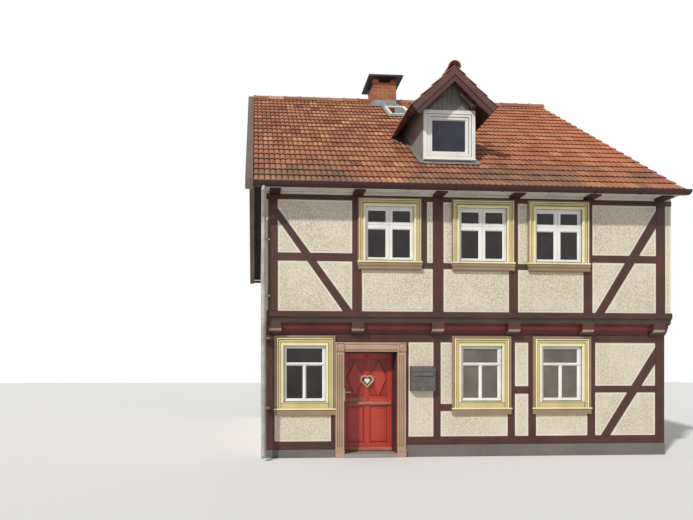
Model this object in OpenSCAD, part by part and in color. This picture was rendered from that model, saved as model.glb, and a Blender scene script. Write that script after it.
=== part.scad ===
// Half timbered house of a street row: two storeys, a jettied upper floor, a steep
// tiled roof with one dormer, and plain party walls at both ends.
// Millimetres. X runs along the street front, Y goes into the house, Z is up.
// Inside place(), x = 0 is the left end of the house and y = 0 the face of the
// ground floor timbers.

/* [House] */
// Width between the outer faces of the party walls
house_w = 7550; // [7500:10:7700]
// Depth of the ground floor, face to face
house_d = 8360; // [7000:10:10000]
// How far the upper storey stands out over the ground floor
jetty = 160; // [60:5:260]
// Thickness of a party wall
party_t = 160; // [100:5:300]
// Thickness of the timbers in the front and rear walls
frame_t = 160; // [120:5:200]
// Depth of the plaster below the face of the timbers
infill_setback = 15; // [4:1:30]
// Thickness of the plastered infill
infill_t = 120; // [60:5:140]

/* [Ground floor] */
// Height of the plinth left of the door
plinth_left_h = 145; // [100:5:180]
// Height of the plinth right of the door
plinth_right_h = 218; // [150:2:260]
// How far the plinth stands out
plinth_out = 15; // [0:1:40]
// Height of the ground sill beam
ground_sill_h = 150; // [100:5:200]
// Thickness of the ground slab
slab_t = 60; // [40:5:90]
// Underside of the lower wall plate
plate_z = 2113; // [2080:1:2160]
// Height of the lower wall plate
plate_h = 135; // [100:5:150]

/* [Jetty] */
// Width of a floor beam
beam_w = 225; // [160:5:280]
// Height of a floor beam
beam_h = 211; // [180:1:260]
// Height of the moulded sill of the upper floor
upper_sill_h = 191; // [160:1:220]
// How far the nose of that sill stands out from the posts
sill_nose = 22; // [5:1:40]
// Thickness of the floor boards
board_t = 25; // [18:1:40]

/* [Upper floor] */
// Underside of the upper wall plate
upper_plate_z = 4645; // [4600:1:4700]
// Height of the upper wall plate
upper_plate_h = 94; // [80:1:120]
// Width of an attic beam
attic_beam_w = 190; // [140:5:220]
// Height of an attic beam
attic_beam_h = 160; // [120:5:180]
// How far the attic beams reach out from the wall
beam_head_out = 220; // [150:5:240]

/* [Roof] */
// Height of the tile edge at the eaves
eave_z = 4860; // [4850:1:4900]
// Overhang of the tile edge from the upper wall
eave_out = 340; // [320:5:380]
// Pitch in degrees
pitch = 40.5; // [38:0.5:46]
// Thickness of the battens and tiles together
tile_t = 60; // [45:1:80]
// Step from one tile course to the next
course_step = 22; // [10:1:30]
// Number of tile courses on a slope
courses = 21; // [12:1:26]
// Depth of a rafter
rafter_h = 140; // [100:5:180]
// Width of a rafter
rafter_w = 100; // [80:5:140]
// How far the left verge stands out from the house
verge_out = 370; // [200:10:400]
// Width of the mortar band along the left verge
verge_w = 140; // [80:10:180]
// Radius of a ridge tile
ridge_r = 125; // [105:5:140]
// Bed between the tiles and what carries them
bed = 0.2; // [0.1:0.1:1]
// Thickness of the eaves boards
eaves_board_t = 22; // [15:1:35]
// Radius of the gutter
gutter_r = 75; // [50:5:90]
// Radius of the downpipe
pipe_r = 42; // [30:1:50]

/* [Windows] */
// Width of a ground floor casing
casing_w = 1116; // [1000:2:1118]
// Width of a ground floor sash
sash_w = 780; // [700:10:900]
// Underside of a ground floor sash
sash_z = 1010; // [980:5:1100]
// Height of a ground floor sash
sash_h = 1030; // [900:10:1080]
// Width of an upper casing
upper_casing_w = 1165; // [1000:5:1180]
// Width of an upper sash
upper_sash_w = 890; // [700:10:920]
// Underside of an upper sash
upper_sash_z = 3565; // [3560:5:3660]
// Height of an upper sash
upper_sash_h = 985; // [900:5:1040]
// Thickness of a sash
sash_t = 50; // [36:1:60]
// Thickness of the glass
glass_t = 6; // [3:1:8]

/* [Door] */
// Centre of the door from the left end of the house
door_x = 1914; // [1900:1:1930]
// Clear width between the door jambs
door_w = 984; // [940:2:990]
// Underside of the door head
door_top = 1932; // [1900:1:1960]
// Depth from the wall face to the door leaf
door_recess = 310; // [200:5:400]
// Thickness of the door leaf
leaf_t = 50; // [40:1:60]
// Height of the stone threshold
threshold_h = 65; // [62:1:90]
// Width of a pilaster beside the door
pilaster_w = 160; // [140:5:170]
// Radius of a hinge pin
pin_r = 8; // [6:0.5:10]
// Clearance of the moving leaf at its hinge side, head and foot
leaf_gap = 6; // [5:0.5:8]
// Clearance of the moving leaf at its lock side
lock_gap = 9; // [8:0.5:12]

/* [Dormer] */
// Centre of the dormer from the left end of the house
dormer_x = 3540; // [3400:10:3700]
// Width of the dormer
dormer_w = 1016; // [900:2:1100]
// Face of the dormer behind the face of the ground floor
dormer_y = 400; // [350:10:600]
// Height of the dormer eaves
dormer_eave_z = 6516; // [6400:2:6600]
// Pitch of the dormer roof in degrees
dormer_pitch = 43; // [38:1:48]
// Half the width of the dormer roof
dormer_roof_half = 800; // [720:10:860]
// Overhang of the dormer roof at the front
dormer_out = 300; // [280:10:500]
// Thickness of a dormer wall
dormer_wall_t = 60; // [40:5:80]
// Thickness of the dormer roof
dormer_roof_t = 70; // [50:5:90]

/* [Chimney] */
// Left side of the chimney from the left end of the house
chimney_x = 2870; // [2700:10:3200]
// Width of the chimney along the street
chimney_w = 610; // [500:10:700]
// Depth of the chimney
chimney_d = 600; // [500:10:700]
// Height of the brickwork over the ridge
chimney_out = 398; // [200:2:600]
// Wall of the chimney
chimney_wall = 125; // [100:5:150]
// Thickness of the cap slab
cap_t = 45; // [30:1:70]
// Overhang of the cap slab
cap_out = 145; // [80:5:160]

/* [Hidden] */
$fn = 48;

timber = "#5a3832";
plaster = "#cfc6b4";
casing_cream = "#e3d9b0";
sash_white = "#e6e4e0";
brick = "#b0704e";
clay = "#b8745a";
stone = "#6a6c70";
iron = "#2c2c2e";

// Levels and planes that follow from the sizes above
beam_z = plate_z + plate_h;
floor_z = beam_z + beam_h;
upper_z = floor_z + upper_sill_h;
attic_beam_z = upper_plate_z + upper_plate_h;
attic_z = attic_beam_z + attic_beam_h;
upper_y = -jetty;
rear_y = house_d;
ridge_y = (upper_y + rear_y) / 2;
eave_y = upper_y - eave_out;
slope = tan(pitch);
under_y = eave_y + tile_t * sin(pitch);
under_z = eave_z - tile_t * cos(pitch);
slope_len = (ridge_y - under_y) / cos(pitch);
tiles_x = [-verge_out + verge_w, house_w];
left_in = party_t;
right_in = house_w - party_t;
front_in = frame_t;
rear_in = rear_y - frame_t;
chimney_top = tile_top(ridge_y) + chimney_out;
eps = 1;

// Top of the tiles above a point y of the front slope, and what they rest on
function tile_top(y) = eave_z + (y - eave_y) * slope;
function tile_under(y) = under_z + (y - under_y) * slope - bed;

function span(centre, width) = [centre - width / 2, centre + width / 2];

// Timbers: [left, right] of the posts, from the left end of the house
door_left = door_x - door_w / 2;
door_right = door_x + door_w / 2;
left_lining = 99;
right_lining = 73;
door_post_w = 140;
ground_left_posts = [[0, 153], [door_left - left_lining - door_post_w, door_left - left_lining]];
ground_right_posts = [[door_right + right_lining, door_right + right_lining + door_post_w],
    [3092, 3223], [4503, 4635], [4898, 5040], [6043, 6189], [house_w - 176, house_w]];
left_sill_end = ground_left_posts[1][1];
right_sill_start = ground_right_posts[0][0];
upper_posts = [[35, 202], [1545, 1718], [3022, 3215], [4444, 4608],
    [5860, 6023], [house_w - 292, house_w - 120]];
// This post stands on the rail beside the first window
short_post = [2816, 2912];
// Rails: [left, right, underside, top]
ground_rails = [[3223, 4503, 841, 969], [4635, 4898, 1159, 1295], [5040, 6043, 841, 969],
    [6189, house_w - 176, 1179, 1301]];
upper_rails = [[202, 1545, 3554, 3695], [1718, 3022, 3435, 3540], [3215, 4444, 3435, 3540],
    [4608, 5860, 3435, 3540], [6023, house_w - 292, 3584, 3716]];
left_rail = [153, ground_left_posts[1][0], 800, 900];
// Centres of the six beams, under the main posts of the upper floor
beam_x = [155, 1650, 3120, 4545, 5950, house_w - 230];
// Windows: centres from the left end of the house
ground_windows = [703, 3995, 5533];
upper_windows = [2225, 3948, 5370];
rear_windows = [for (i = [1, 3, 5]) house_w * i / 6];
rear_post_w = 150;
rear_posts = [[0, 176], span(house_w / 3, rear_post_w), span(house_w * 2 / 3, rear_post_w),
    [house_w - 176, house_w]];
rafter_count = 9;

hinge_x = door_right;
hinge_y = door_recess + leaf_t + 19;
strap_z = [420, 1560];

// Helpers
module place() { translate([-house_w / 2, -house_d / 2, 0]) children(); }
module box(x, y, z) { translate([x[0], y[0], z[0]]) cube([x[1] - x[0], y[1] - y[0], z[1] - z[0]]); }
// An outline in X and Z, from y[0] to y[1]
module wall_shape(y, points) {
    translate([0, y[1], 0]) rotate([90, 0, 0]) linear_extrude(y[1] - y[0]) polygon(points);
}
// An outline in Y and Z, from x[0] to x[1]
module long_shape(x, points) {
    translate([x[0], 0, 0]) rotate([90, 0, 90]) linear_extrude(x[1] - x[0]) polygon(points);
}
module rear_slope() { translate([0, 2 * ridge_y, 0]) mirror([0, 1, 0]) children(); }
// The rear wall is built like a front wall and turned round
module rear_wall() { translate([house_w, house_d, 0]) rotate([0, 0, 180]) children(); }

module chimney_space() {
    box([chimney_x, chimney_x + chimney_w], [ridge_y - chimney_d / 2, ridge_y + chimney_d / 2],
        [slab_t, chimney_top]);
}

module plinth() {
    color(stone) place() difference() {
        union() {
            box([0, left_sill_end], [-plinth_out, frame_t], [0, plinth_left_h]);
            box([right_sill_start, house_w], [-plinth_out, frame_t], [0, plinth_right_h]);
            box([0, house_w], [rear_in, rear_y + plinth_out], [0, plinth_right_h]);
        }
        box([door_left - pilaster_w, door_right + pilaster_w], [-2 * plinth_out, 0],
            [0, plinth_right_h + eps]);
    }
}

module ground_floor() {
    color(stone) place() box([left_in, right_in], [front_in, rear_in], [0, slab_t]);
}

// Gable shaped wall between two houses, with pockets for the outer beams
module party_wall(x) {
    difference() {
        long_shape(x, [[front_in, 0], [rear_in, 0], [rear_in, tile_under(2 * ridge_y - rear_in)],
            [ridge_y, tile_under(ridge_y)], [front_in - jetty, tile_under(front_in - jetty)],
            [front_in - jetty, floor_z], [front_in, floor_z]]);
        floor_beam_set();
        attic_beam_set();
    }
}
module left_party_wall() { color(plaster) place() party_wall([0, left_in]); }
module right_party_wall() { color(plaster) place() party_wall([right_in, house_w]); }

// Timber frame of the street front, ground floor
module ground_timbers() {
    box([0, left_sill_end], [0, frame_t], [plinth_left_h, plinth_left_h + ground_sill_h]);
    box([right_sill_start, house_w], [0, frame_t], [plinth_right_h, plinth_right_h + ground_sill_h]);
    for (p = ground_left_posts) box(p, [0, frame_t], [plinth_left_h, plate_z]);
    for (p = ground_right_posts) box(p, [0, frame_t], [plinth_right_h, plate_z]);
    for (r = concat([left_rail], ground_rails)) box([r[0], r[1]], [0, frame_t], [r[2], r[3]]);
    wall_shape([0, frame_t], [[6305, plinth_right_h + ground_sill_h], [6475, plinth_right_h + ground_sill_h],
        [house_w - 176, 1725], [house_w - 176, 2026]]);
}
module ground_frame() { color(timber) place() ground_timbers(); }

module ground_infill() {
    color(plaster) place() difference() {
        union() {
            box([0, left_sill_end], [infill_setback, infill_setback + infill_t], [plinth_left_h, plate_z]);
            box([right_sill_start, house_w], [infill_setback, infill_setback + infill_t],
                [plinth_right_h, plate_z]);
        }
        ground_timbers();
        for (c = ground_windows) box(span(c, sash_w), [-eps, frame_t], [sash_z, sash_z + sash_h]);
    }
}

module lower_plate() { color(timber) place() box([0, house_w], [0, frame_t], [plate_z, beam_z]); }

// Floor beams. The end under the jetty has a flat face, a roll and a hollow below it
module floor_beam_set() {
    face_h = 112;
    roll_r = 22;
    roll_y = upper_y + 30;
    roll_z = floor_z - face_h - roll_r;
    difference() {
        for (c = beam_x) {
            long_shape(span(c, beam_w), [[rear_y, beam_z], [rear_y, floor_z], [upper_y, floor_z],
                [upper_y, floor_z - face_h], [roll_y, floor_z - face_h - 8], [roll_y, roll_z - roll_r],
                [roll_y + 40, roll_z - roll_r - 8], [roll_y + 68, beam_z + 14], [roll_y + 78, beam_z]]);
            translate([c - beam_w / 2, roll_y, roll_z]) rotate([0, 90, 0]) cylinder(r = roll_r, h = beam_w);
        }
        chimney_space();
    }
}
module floor_beams() { color(timber) place() floor_beam_set(); }

// Moulded timbers between the beam ends: a lip, a hollow and a board that slopes
// back to the wall plate in two steps
module fill_timbers() {
    lip_y = -128;
    lip_h = 28;
    board_y = -96;
    board_z = floor_z - lip_h - 20;
    step_y = -62;
    step_z = (board_z + beam_z) / 2;
    color("#6b2a28") place() difference() {
        long_shape([0, house_w], [[frame_t, beam_z], [frame_t, floor_z], [lip_y, floor_z],
            [lip_y, floor_z - lip_h], [board_y + 12, floor_z - lip_h - 4], [board_y + 12, board_z + 4],
            [board_y, board_z], [step_y, step_z + 6], [step_y + 10, step_z], [step_y - 2, step_z - 6],
            [-8, beam_z]]);
        floor_beam_set();
    }
}

module upper_floor() {
    color("#8a6a4a") place() difference() {
        box([left_in, right_in], [0, rear_in], [floor_z, floor_z + board_t]);
        chimney_space();
    }
}

// Sill of the upper storey: a flat face, a small nose and a hollow under it
module upper_sill() {
    face_y = upper_y - sill_nose;
    face_h = 104;
    hollow_y = upper_y + 12;
    color(timber) place() long_shape([0, house_w], [[0, floor_z], [0, upper_z], [face_y + 8, upper_z],
        [face_y, upper_z - 8], [face_y, upper_z - face_h + 8], [face_y + 8, upper_z - face_h],
        [face_y + 14, upper_z - face_h - 8], [hollow_y - 16, upper_z - face_h - 24],
        [hollow_y - 5, upper_z - face_h - 48], [hollow_y, floor_z + 14], [hollow_y, floor_z]]);
}

module upper_timbers() {
    y = [upper_y, upper_y + frame_t];
    for (p = upper_posts) box(p, y, [upper_z, upper_plate_z]);
    for (r = upper_rails) box([r[0], r[1]], y, [r[2], r[3]]);
    box(short_post, y, [upper_rails[1][3], upper_plate_z]);
    box([0, house_w], y, [upper_plate_z, attic_beam_z]);
    wall_shape(y, [[202, 4286], [1377, upper_z], [1560, upper_z], [202, 4487]]);
    wall_shape(y, [[6085, upper_z], [6255, upper_z], [house_w - 292, 4255], [house_w - 292, 4560]]);
}
module upper_frame() { color(timber) place() upper_timbers(); }

module upper_infill() {
    y = [upper_y + infill_setback, upper_y + infill_setback + infill_t];
    color(plaster) place() difference() {
        box([0, house_w], y, [upper_z, attic_z]);
        upper_timbers();
        attic_beam_set();
        for (c = upper_windows) box([c - upper_sash_w / 2, c + upper_sash_w / 2], [upper_y - eps, 0],
            [upper_sash_z, upper_sash_z + upper_sash_h]);
    }
}

// Attic beams, cut to the slope of the roof at both ends
module attic_beam_set() {
    head_y = upper_y - beam_head_out;
    cut_y = under_y + (attic_z - under_z) / slope;
    head_top = min(attic_z, tile_under(head_y));
    difference() {
        for (c = beam_x) long_shape([c - attic_beam_w / 2, c + attic_beam_w / 2],
            [[head_y, attic_beam_z], [2 * ridge_y - head_y, attic_beam_z], [2 * ridge_y - head_y, head_top],
            [2 * ridge_y - cut_y, attic_z], [cut_y, attic_z], [head_y, head_top]]);
        chimney_space();
    }
}
module attic_beams() { color(timber) place() attic_beam_set(); }

module attic_floor() {
    color("#8a6a4a") place() difference() {
        box([left_in, right_in], [0, rear_in], [attic_z, attic_z + board_t]);
        chimney_space();
    }
}

// Plain timber frame of the rear wall, both storeys
module rear_timbers() {
    y = [0, frame_t];
    box([0, house_w], y, [plinth_right_h, plinth_right_h + ground_sill_h]);
    box([0, house_w], y, [plate_z, beam_z]);
    box([0, house_w], y, [floor_z, upper_z]);
    box([0, house_w], y, [upper_plate_z, attic_beam_z]);
    for (p = rear_posts) {
        box(p, y, [plinth_right_h, plate_z]);
        box(p, y, [upper_z, upper_plate_z]);
    }
    for (i = [0:len(rear_posts) - 2]) {
        x = [rear_posts[i][1], rear_posts[i + 1][0]];
        box(x, y, [841, 969]);
        box(x, y, [3435, 3540]);
    }
}
module rear_frame() { color(timber) place() rear_wall() rear_timbers(); }

module rear_infill() {
    color(plaster) place() difference() {
        rear_wall() difference() {
            box([0, house_w], [infill_setback, infill_setback + infill_t], [plinth_right_h, attic_z]);
            rear_timbers();
            for (c = rear_windows) {
                box([c - sash_w / 2, c + sash_w / 2], [-eps, frame_t], [sash_z, sash_z + sash_h]);
                box([c - upper_sash_w / 2, c + upper_sash_w / 2], [-eps, frame_t],
                    [upper_sash_z, upper_sash_z + upper_sash_h]);
            }
        }
        floor_beam_set();
        attic_beam_set();
    }
}

// Window casing: a moulded frame round the sash and a sill board under it.
// c is the centre, w and z the outer width and levels, sw and sz those of the sash.
// sill is the outline of the board, from the underside of the frame
fillet_w = 44;
bead_w = 30;
inner_w = 40;
foot_bead_h = 28;
module casing(c, w, z, sw, sz, sill) {
    band_out = 22;
    fillet_out = 30;
    bead_out = 45;
    inner_out = 36;
    foot_out = 52;
    // Two upright pieces and the head between them, inset from the outer edge
    module three_sides(inset, width, out) {
        for (s = [-1, 1])
            box(span(c + s * (w / 2 - inset - width / 2), width), [-out, 0], [z[0], z[1] - inset]);
        box(span(c, w - 2 * inset), [-out, 0], [z[1] - inset - width, z[1] - inset]);
    }
    difference() {
        union() {
            box(span(c, w), [-band_out, 0], z);
            three_sides(0, fillet_w, fillet_out);
            three_sides(fillet_w, bead_w, bead_out);
            box(span(c, w), [-foot_out, 0], [z[0], z[0] + foot_bead_h]);
            box(span(c, sw + 2 * inner_w), [-inner_out, 0], [sz[0] - 8, sz[1] + inner_w]);
        }
        box(span(c, sw), [-2 * foot_out, eps], sz);
    }
    long_shape(span(c, w), [for (p = sill) [p[0], z[0] + p[1]]]);
}
module window_casings() {
    ground_z = [870, 2224];
    upper_casing_z = [3530, 4697];
    upper_sz = [upper_sash_z, upper_sash_z + upper_sash_h];
    ground_sz = [sash_z, sash_z + sash_h];
    flat_sill = [[0, -95], [-34, -95], [-34, -10], [-26, 0], [0, 0]];
    moulded_sill = [[0, -130], [-42, -130], [-56, -118], [-56, -80], [-40, -72], [-40, -62],
        [-48, -58], [-48, -14], [-30, 0], [0, 0]];
    color(casing_cream) place() {
        for (c = ground_windows) casing(c, casing_w, ground_z, sash_w, ground_sz, flat_sill);
        translate([0, upper_y, 0]) for (c = upper_windows)
            casing(c, upper_casing_w, upper_casing_z, upper_sash_w, upper_sz, moulded_sill);
        rear_wall() for (c = rear_windows) {
            casing(c, casing_w, ground_z, sash_w, ground_sz, flat_sill);
            casing(c, upper_casing_w, upper_casing_z, upper_sash_w, upper_sz, moulded_sill);
        }
    }
}

// Parts of a sash: stile, head rail, foot rail, transom and mullion, then the
// height of its upper lights
ground_parts = [64, 50, 68, 60, 65, 256];
upper_parts = [60, 70, 70, 140, 130, 200];
sash_y = 20;
rebate_w = 12;
function glass_x(c, w, parts) = span(c, w - 2 * parts[0] + 2 * rebate_w);
function glass_z(z, parts) = [z[0] + parts[2] - rebate_w, z[1] - parts[1] + rebate_w];
// Sash with two lights over two, rebated behind for the glass.
// wide_top joins the two upper lights into one
module sash(c, w, z, parts, wide_top) {
    top_z = z[1] - parts[1];
    bar_z = top_z - parts[5];
    light_w = (w - 2 * parts[0] - parts[4]) / 2;
    front = [sash_y - eps, sash_y + sash_t / 2 + eps];
    difference() {
        box(span(c, w), [sash_y, sash_y + sash_t], z);
        for (s = [-1, 1]) {
            light = span(c + s * (parts[4] + light_w) / 2, light_w);
            box(light, front, [z[0] + parts[2], bar_z - parts[3]]);
            box(light, front, [bar_z, top_z]);
        }
        if (wide_top) box(span(c, w - 2 * parts[0]), front, [bar_z, top_z]);
        box(glass_x(c, w, parts), [sash_y + sash_t / 2, sash_y + sash_t + eps], glass_z(z, parts));
    }
}
module window_sashes() {
    ground_z = [sash_z, sash_z + sash_h];
    top_z = [upper_sash_z, upper_sash_z + upper_sash_h];
    color(sash_white) place() {
        for (c = ground_windows) sash(c, sash_w, ground_z, ground_parts, true);
        translate([0, upper_y, 0]) for (c = upper_windows)
            sash(c, upper_sash_w, top_z, upper_parts, false);
        rear_wall() for (c = rear_windows) {
            sash(c, sash_w, ground_z, ground_parts, true);
            sash(c, upper_sash_w, top_z, upper_parts, false);
        }
    }
}
module pane(c, w, z, parts) {
    box(glass_x(c, w, parts), [sash_y + sash_t / 2, sash_y + sash_t / 2 + glass_t], glass_z(z, parts));
}
module window_glass() {
    ground_z = [sash_z, sash_z + sash_h];
    top_z = [upper_sash_z, upper_sash_z + upper_sash_h];
    color("#9fb0b8") place() {
        for (c = ground_windows) pane(c, sash_w, ground_z, ground_parts);
        translate([0, upper_y, 0]) for (c = upper_windows) pane(c, upper_sash_w, top_z, upper_parts);
        rear_wall() for (c = rear_windows) {
            pane(c, sash_w, ground_z, ground_parts);
            pane(c, upper_sash_w, top_z, upper_parts);
        }
    }
}

// Pilasters with flutes, corner blocks, a lintel band and foot blocks
module door_surround() {
    out = 40;
    block_out = 58;
    foot_h = 130;
    band_z = [door_top, door_top + 169];
    flute_step = 38;
    flute_w = 18;
    flute_d = 10;
    color("#c0a488") place() {
        for (s = [-1, 1]) {
            c = door_x + s * (door_w + pilaster_w) / 2;
            x = span(c, pilaster_w);
            difference() {
                box(x, [-out, 0], [foot_h, band_z[0]]);
                for (i = [-1:1]) box(span(c + i * flute_step, flute_w), [-out - eps, flute_d - out],
                    [foot_h + 60, band_z[0] - 60]);
            }
            box(x, [-block_out, 0], [0, foot_h]);
            box(x, [-block_out, 0], band_z);
        }
        box([door_left, door_right], [-out, 0], band_z);
        box([door_left, door_right], [-out - 12, 0], [band_z[1] - 35, band_z[1]]);
    }
}

// Lining of the deep doorway with the stop that the leaf closes against
module door_frame() {
    stop = 18;
    stop_y = [door_recess - 25, door_recess - 5];
    depth = [0, door_recess + leaf_t];
    color("#4a2a28") place() {
        box([left_sill_end, door_left], depth, [threshold_h, plate_z]);
        box([door_right, right_sill_start], depth, [threshold_h, plate_z]);
        box([door_left, door_right], depth, [door_top, plate_z]);
        box([door_left, door_left + stop], stop_y, [threshold_h, door_top]);
        box([door_right - stop, door_right], stop_y, [threshold_h, door_top]);
        box([door_left, door_right], stop_y, [door_top - stop, door_top]);
    }
}

module threshold() {
    color("#8f8d88") place() {
        box([left_sill_end, right_sill_start], [0, front_in], [0, threshold_h]);
        box([door_left, door_right], [-60, 0], [0, threshold_h]);
    }
}

// Pins that the door hangs on, each on a plate behind the right hand jamb
module door_pintles() {
    color(iron) place() for (z = strap_z) {
        translate([hinge_x, hinge_y, z - 40]) cylinder(r = pin_r, h = 90);
        box([hinge_x, hinge_x + 30], [door_recess + leaf_t, hinge_y + pin_r], [z - 60, z - 32]);
    }
}

leaf_x = [door_left + lock_gap, door_right - leaf_gap];
leaf_z = [threshold_h + leaf_gap, door_top - leaf_gap];
ledge_z = 970;

// Door leaf: stiles, rails and a centre strip over a thinner ground, with two
// lozenges above the drip ledge and two tall fields below it
module door_leaf() {
    face = door_recess;
    stile_w = 90;
    rail_h = 110;
    strip_w = 100;
    mid = (leaf_x[0] + leaf_x[1]) / 2;
    panel_w = (leaf_x[1] - leaf_x[0] - 2 * stile_w - strip_w) / 2;
    ground = face + 18;
    color("#a83226") place() {
        box(leaf_x, [ground, face + leaf_t], leaf_z);
        for (x = [leaf_x[0], leaf_x[1] - stile_w]) box([x, x + stile_w], [face, ground], leaf_z);
        box([mid - strip_w / 2, mid + strip_w / 2], [face, ground], leaf_z);
        box(leaf_x, [face, ground], [leaf_z[0], leaf_z[0] + 1.4 * rail_h]);
        box(leaf_x, [face, ground], [leaf_z[1] - rail_h, leaf_z[1]]);
        box(leaf_x, [face, ground], [ledge_z - rail_h / 2, ledge_z + rail_h]);
        for (x = [-14, 14]) box([mid + x - 6, mid + x + 6], [face - 8, face], [ledge_z + 40, leaf_z[1] - 40]);
        long_shape([leaf_x[0] + 30, leaf_x[1] - 30], [[face, ledge_z - 30], [face - 35, ledge_z - 18],
            [face - 35, ledge_z], [face, ledge_z + 30]]);
        for (s = [-1, 1]) {
            c = mid + s * (strip_w + panel_w) / 2;
            top = leaf_z[1] - rail_h;
            low = ledge_z + rail_h;
            wall_shape([face + 4, ground], [[c - panel_w / 2 + 25, (top + low) / 2], [c, low + 20],
                [c + panel_w / 2 - 25, (top + low) / 2], [c, top - 20]]);
            box([c - panel_w / 2 + 30, c + panel_w / 2 - 30], [face + 6, ground],
                [leaf_z[0] + 1.4 * rail_h + 35, ledge_z - rail_h / 2 - 35]);
        }
    }
}

module door_straps() {
    eye_r = pin_r + 6;
    strap_l = 620;
    color(iron) place() for (z = strap_z) difference() {
        union() {
            box([hinge_x - strap_l, hinge_x], [door_recess + leaf_t, door_recess + leaf_t + 8],
                [z - 22, z + 22]);
            translate([hinge_x, hinge_y, z - 22]) cylinder(r = eye_r, h = 44);
            box([hinge_x - eye_r, hinge_x], [door_recess + leaf_t, hinge_y], [z - 22, z + 22]);
        }
        translate([hinge_x, hinge_y, z - 60]) cylinder(r = pin_r + 1, h = 120);
        box([hinge_x - 5, hinge_x + 60], [door_recess, door_recess + leaf_t + 5], [z - 60, z + 60]);
    }
}

module door_handle() {
    x = leaf_x[0] + 45;
    color("#c9c9c6") place() {
        box([x - 20, x + 20], [door_recess - 6, door_recess], [1010, 1240]);
        translate([x, door_recess - 6, 1180]) rotate([90, 0, 0]) cylinder(r = 9, h = 44);
        translate([x, door_recess - 50, 1180]) sphere(r = 12);
        translate([x, door_recess - 50, 1180]) rotate([0, 90, 0]) cylinder(r = 9, h = 120);
    }
}

// Heart shaped wreath with a small heart hanging in it
module heart(a) {
    rotate(45) union() {
        square(a);
        translate([a / 2, a]) circle(d = a);
        translate([a, a / 2]) circle(d = a);
    }
}
module door_wreath() {
    mid = (leaf_x[0] + leaf_x[1]) / 2;
    y = door_recess - 8;
    color("#e8e2d8") place() {
        translate([mid, y, 1260]) rotate([90, 0, 0]) linear_extrude(24) difference() {
            heart(155);
            translate([0, 34]) heart(109);
        }
        translate([mid, y, 1340]) rotate([90, 0, 0]) linear_extrude(16) heart(62);
        box([mid - 3, mid + 3], [y - 8, y], [1400, 1500]);
    }
}

module mailbox() {
    x = [2645, 3088];
    color("#55585c") place() {
        long_shape(x, [[infill_setback, 1210], [-110, 1210], [-110, 1600], [-95, 1635],
            [infill_setback, 1671]]);
        long_shape([x[0] + 40, x[1] - 40], [[-110, 1480], [-128, 1490], [-128, 1500], [-110, 1560]]);
    }
}

// One slope of rafters, standing on the attic beams and floor
module rafter_slope() {
    lean = rafter_h / cos(pitch);
    foot_y = under_y + (attic_z - under_z + lean) / slope;
    step = (right_in - left_in - rafter_w) / (rafter_count - 1);
    for (i = [0:rafter_count - 1]) {
        x = left_in + i * step;
        long_shape([x, x + rafter_w], [[upper_y, attic_z], [foot_y, attic_z],
            [ridge_y, tile_under(ridge_y) - lean], [ridge_y, tile_under(ridge_y)],
            [upper_y, tile_under(upper_y)]]);
    }
}
module dormer_well() {
    box(span(dormer_x, dormer_w), [dormer_y, well_y], [attic_z + board_t, tile_under(ridge_y)]);
}
// A block on the slope at the roof window, from height n[0] to n[1] over the battens
module roof_window_block(margin, n) {
    translate([roof_window_x - roof_window_w / 2, roof_window_y, tile_under(roof_window_y)])
        rotate([pitch, 0, 0]) box([margin, roof_window_w - margin], [margin, roof_window_l - margin], n);
}
module roof_window_well() { roof_window_block(0, [-2 * rafter_h, 2 * tile_t]); }
module front_rafters() {
    color(timber) place() difference() {
        rafter_slope();
        dormer_well();
        roof_window_well();
        chimney_space();
    }
}
module rear_rafters() {
    color(timber) place() difference() {
        rear_slope() rafter_slope();
        chimney_space();
    }
}

// Soffit and fascia boards between the beam heads
module eaves_boards() {
    soffit_z = attic_beam_z + 42;
    module eave() difference() {
        union() {
            box([0, house_w], [under_y + eaves_board_t, upper_y], [soffit_z, soffit_z + eaves_board_t]);
            box([0, house_w], [under_y, under_y + eaves_board_t], [soffit_z - 35, under_z]);
        }
        attic_beam_set();
    }
    color(plaster) place() {
        eave();
        rear_slope() eave();
    }
}

// Tiles of one slope: each course overlaps the next one down
module tile_slope() {
    low_t = tile_t - course_step;
    // A point on the slope: s along it from the eaves, n over its underside
    function at(s, n) = [under_y + s * cos(pitch) - n * sin(pitch),
        under_z + s * sin(pitch) + n * cos(pitch)];
    function end_s(n) = slope_len + n * tan(pitch);
    e = end_s(low_t) / courses;
    points = concat([at(0, 0)], [for (i = [0:courses - 1]) each [at(i * e, tile_t), at((i + 1) * e, low_t)]],
        [[ridge_y, tile_under(ridge_y) + bed]]);
    long_shape(tiles_x, [for (p = points) [min(p[0], ridge_y), p[1]]]);
}
module front_roof() {
    color(clay) place() difference() {
        tile_slope();
        dormer_well();
        roof_window_well();
        chimney_space();
    }
}
module rear_roof() {
    color(clay) place() difference() {
        rear_slope() tile_slope();
        chimney_space();
    }
}

// A row of half round tiles with a collar at each joint
module ridge_row(length, r) {
    count = round(length / 380);
    step = length / count;
    difference() {
        union() {
            rotate([0, 90, 0]) cylinder(r = r, h = length);
            for (i = [0:count - 1])
                translate([i * step, 0, 0]) rotate([0, 90, 0]) cylinder(r = r + 9, h = 60);
        }
        translate([-eps, 0, 0]) rotate([0, 90, 0]) cylinder(r = r - 16, h = length + 2 * eps);
        translate([-eps, -2 * r, -2 * r]) cube([length + 2 * eps, 4 * r, 2 * r]);
    }
}
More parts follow.
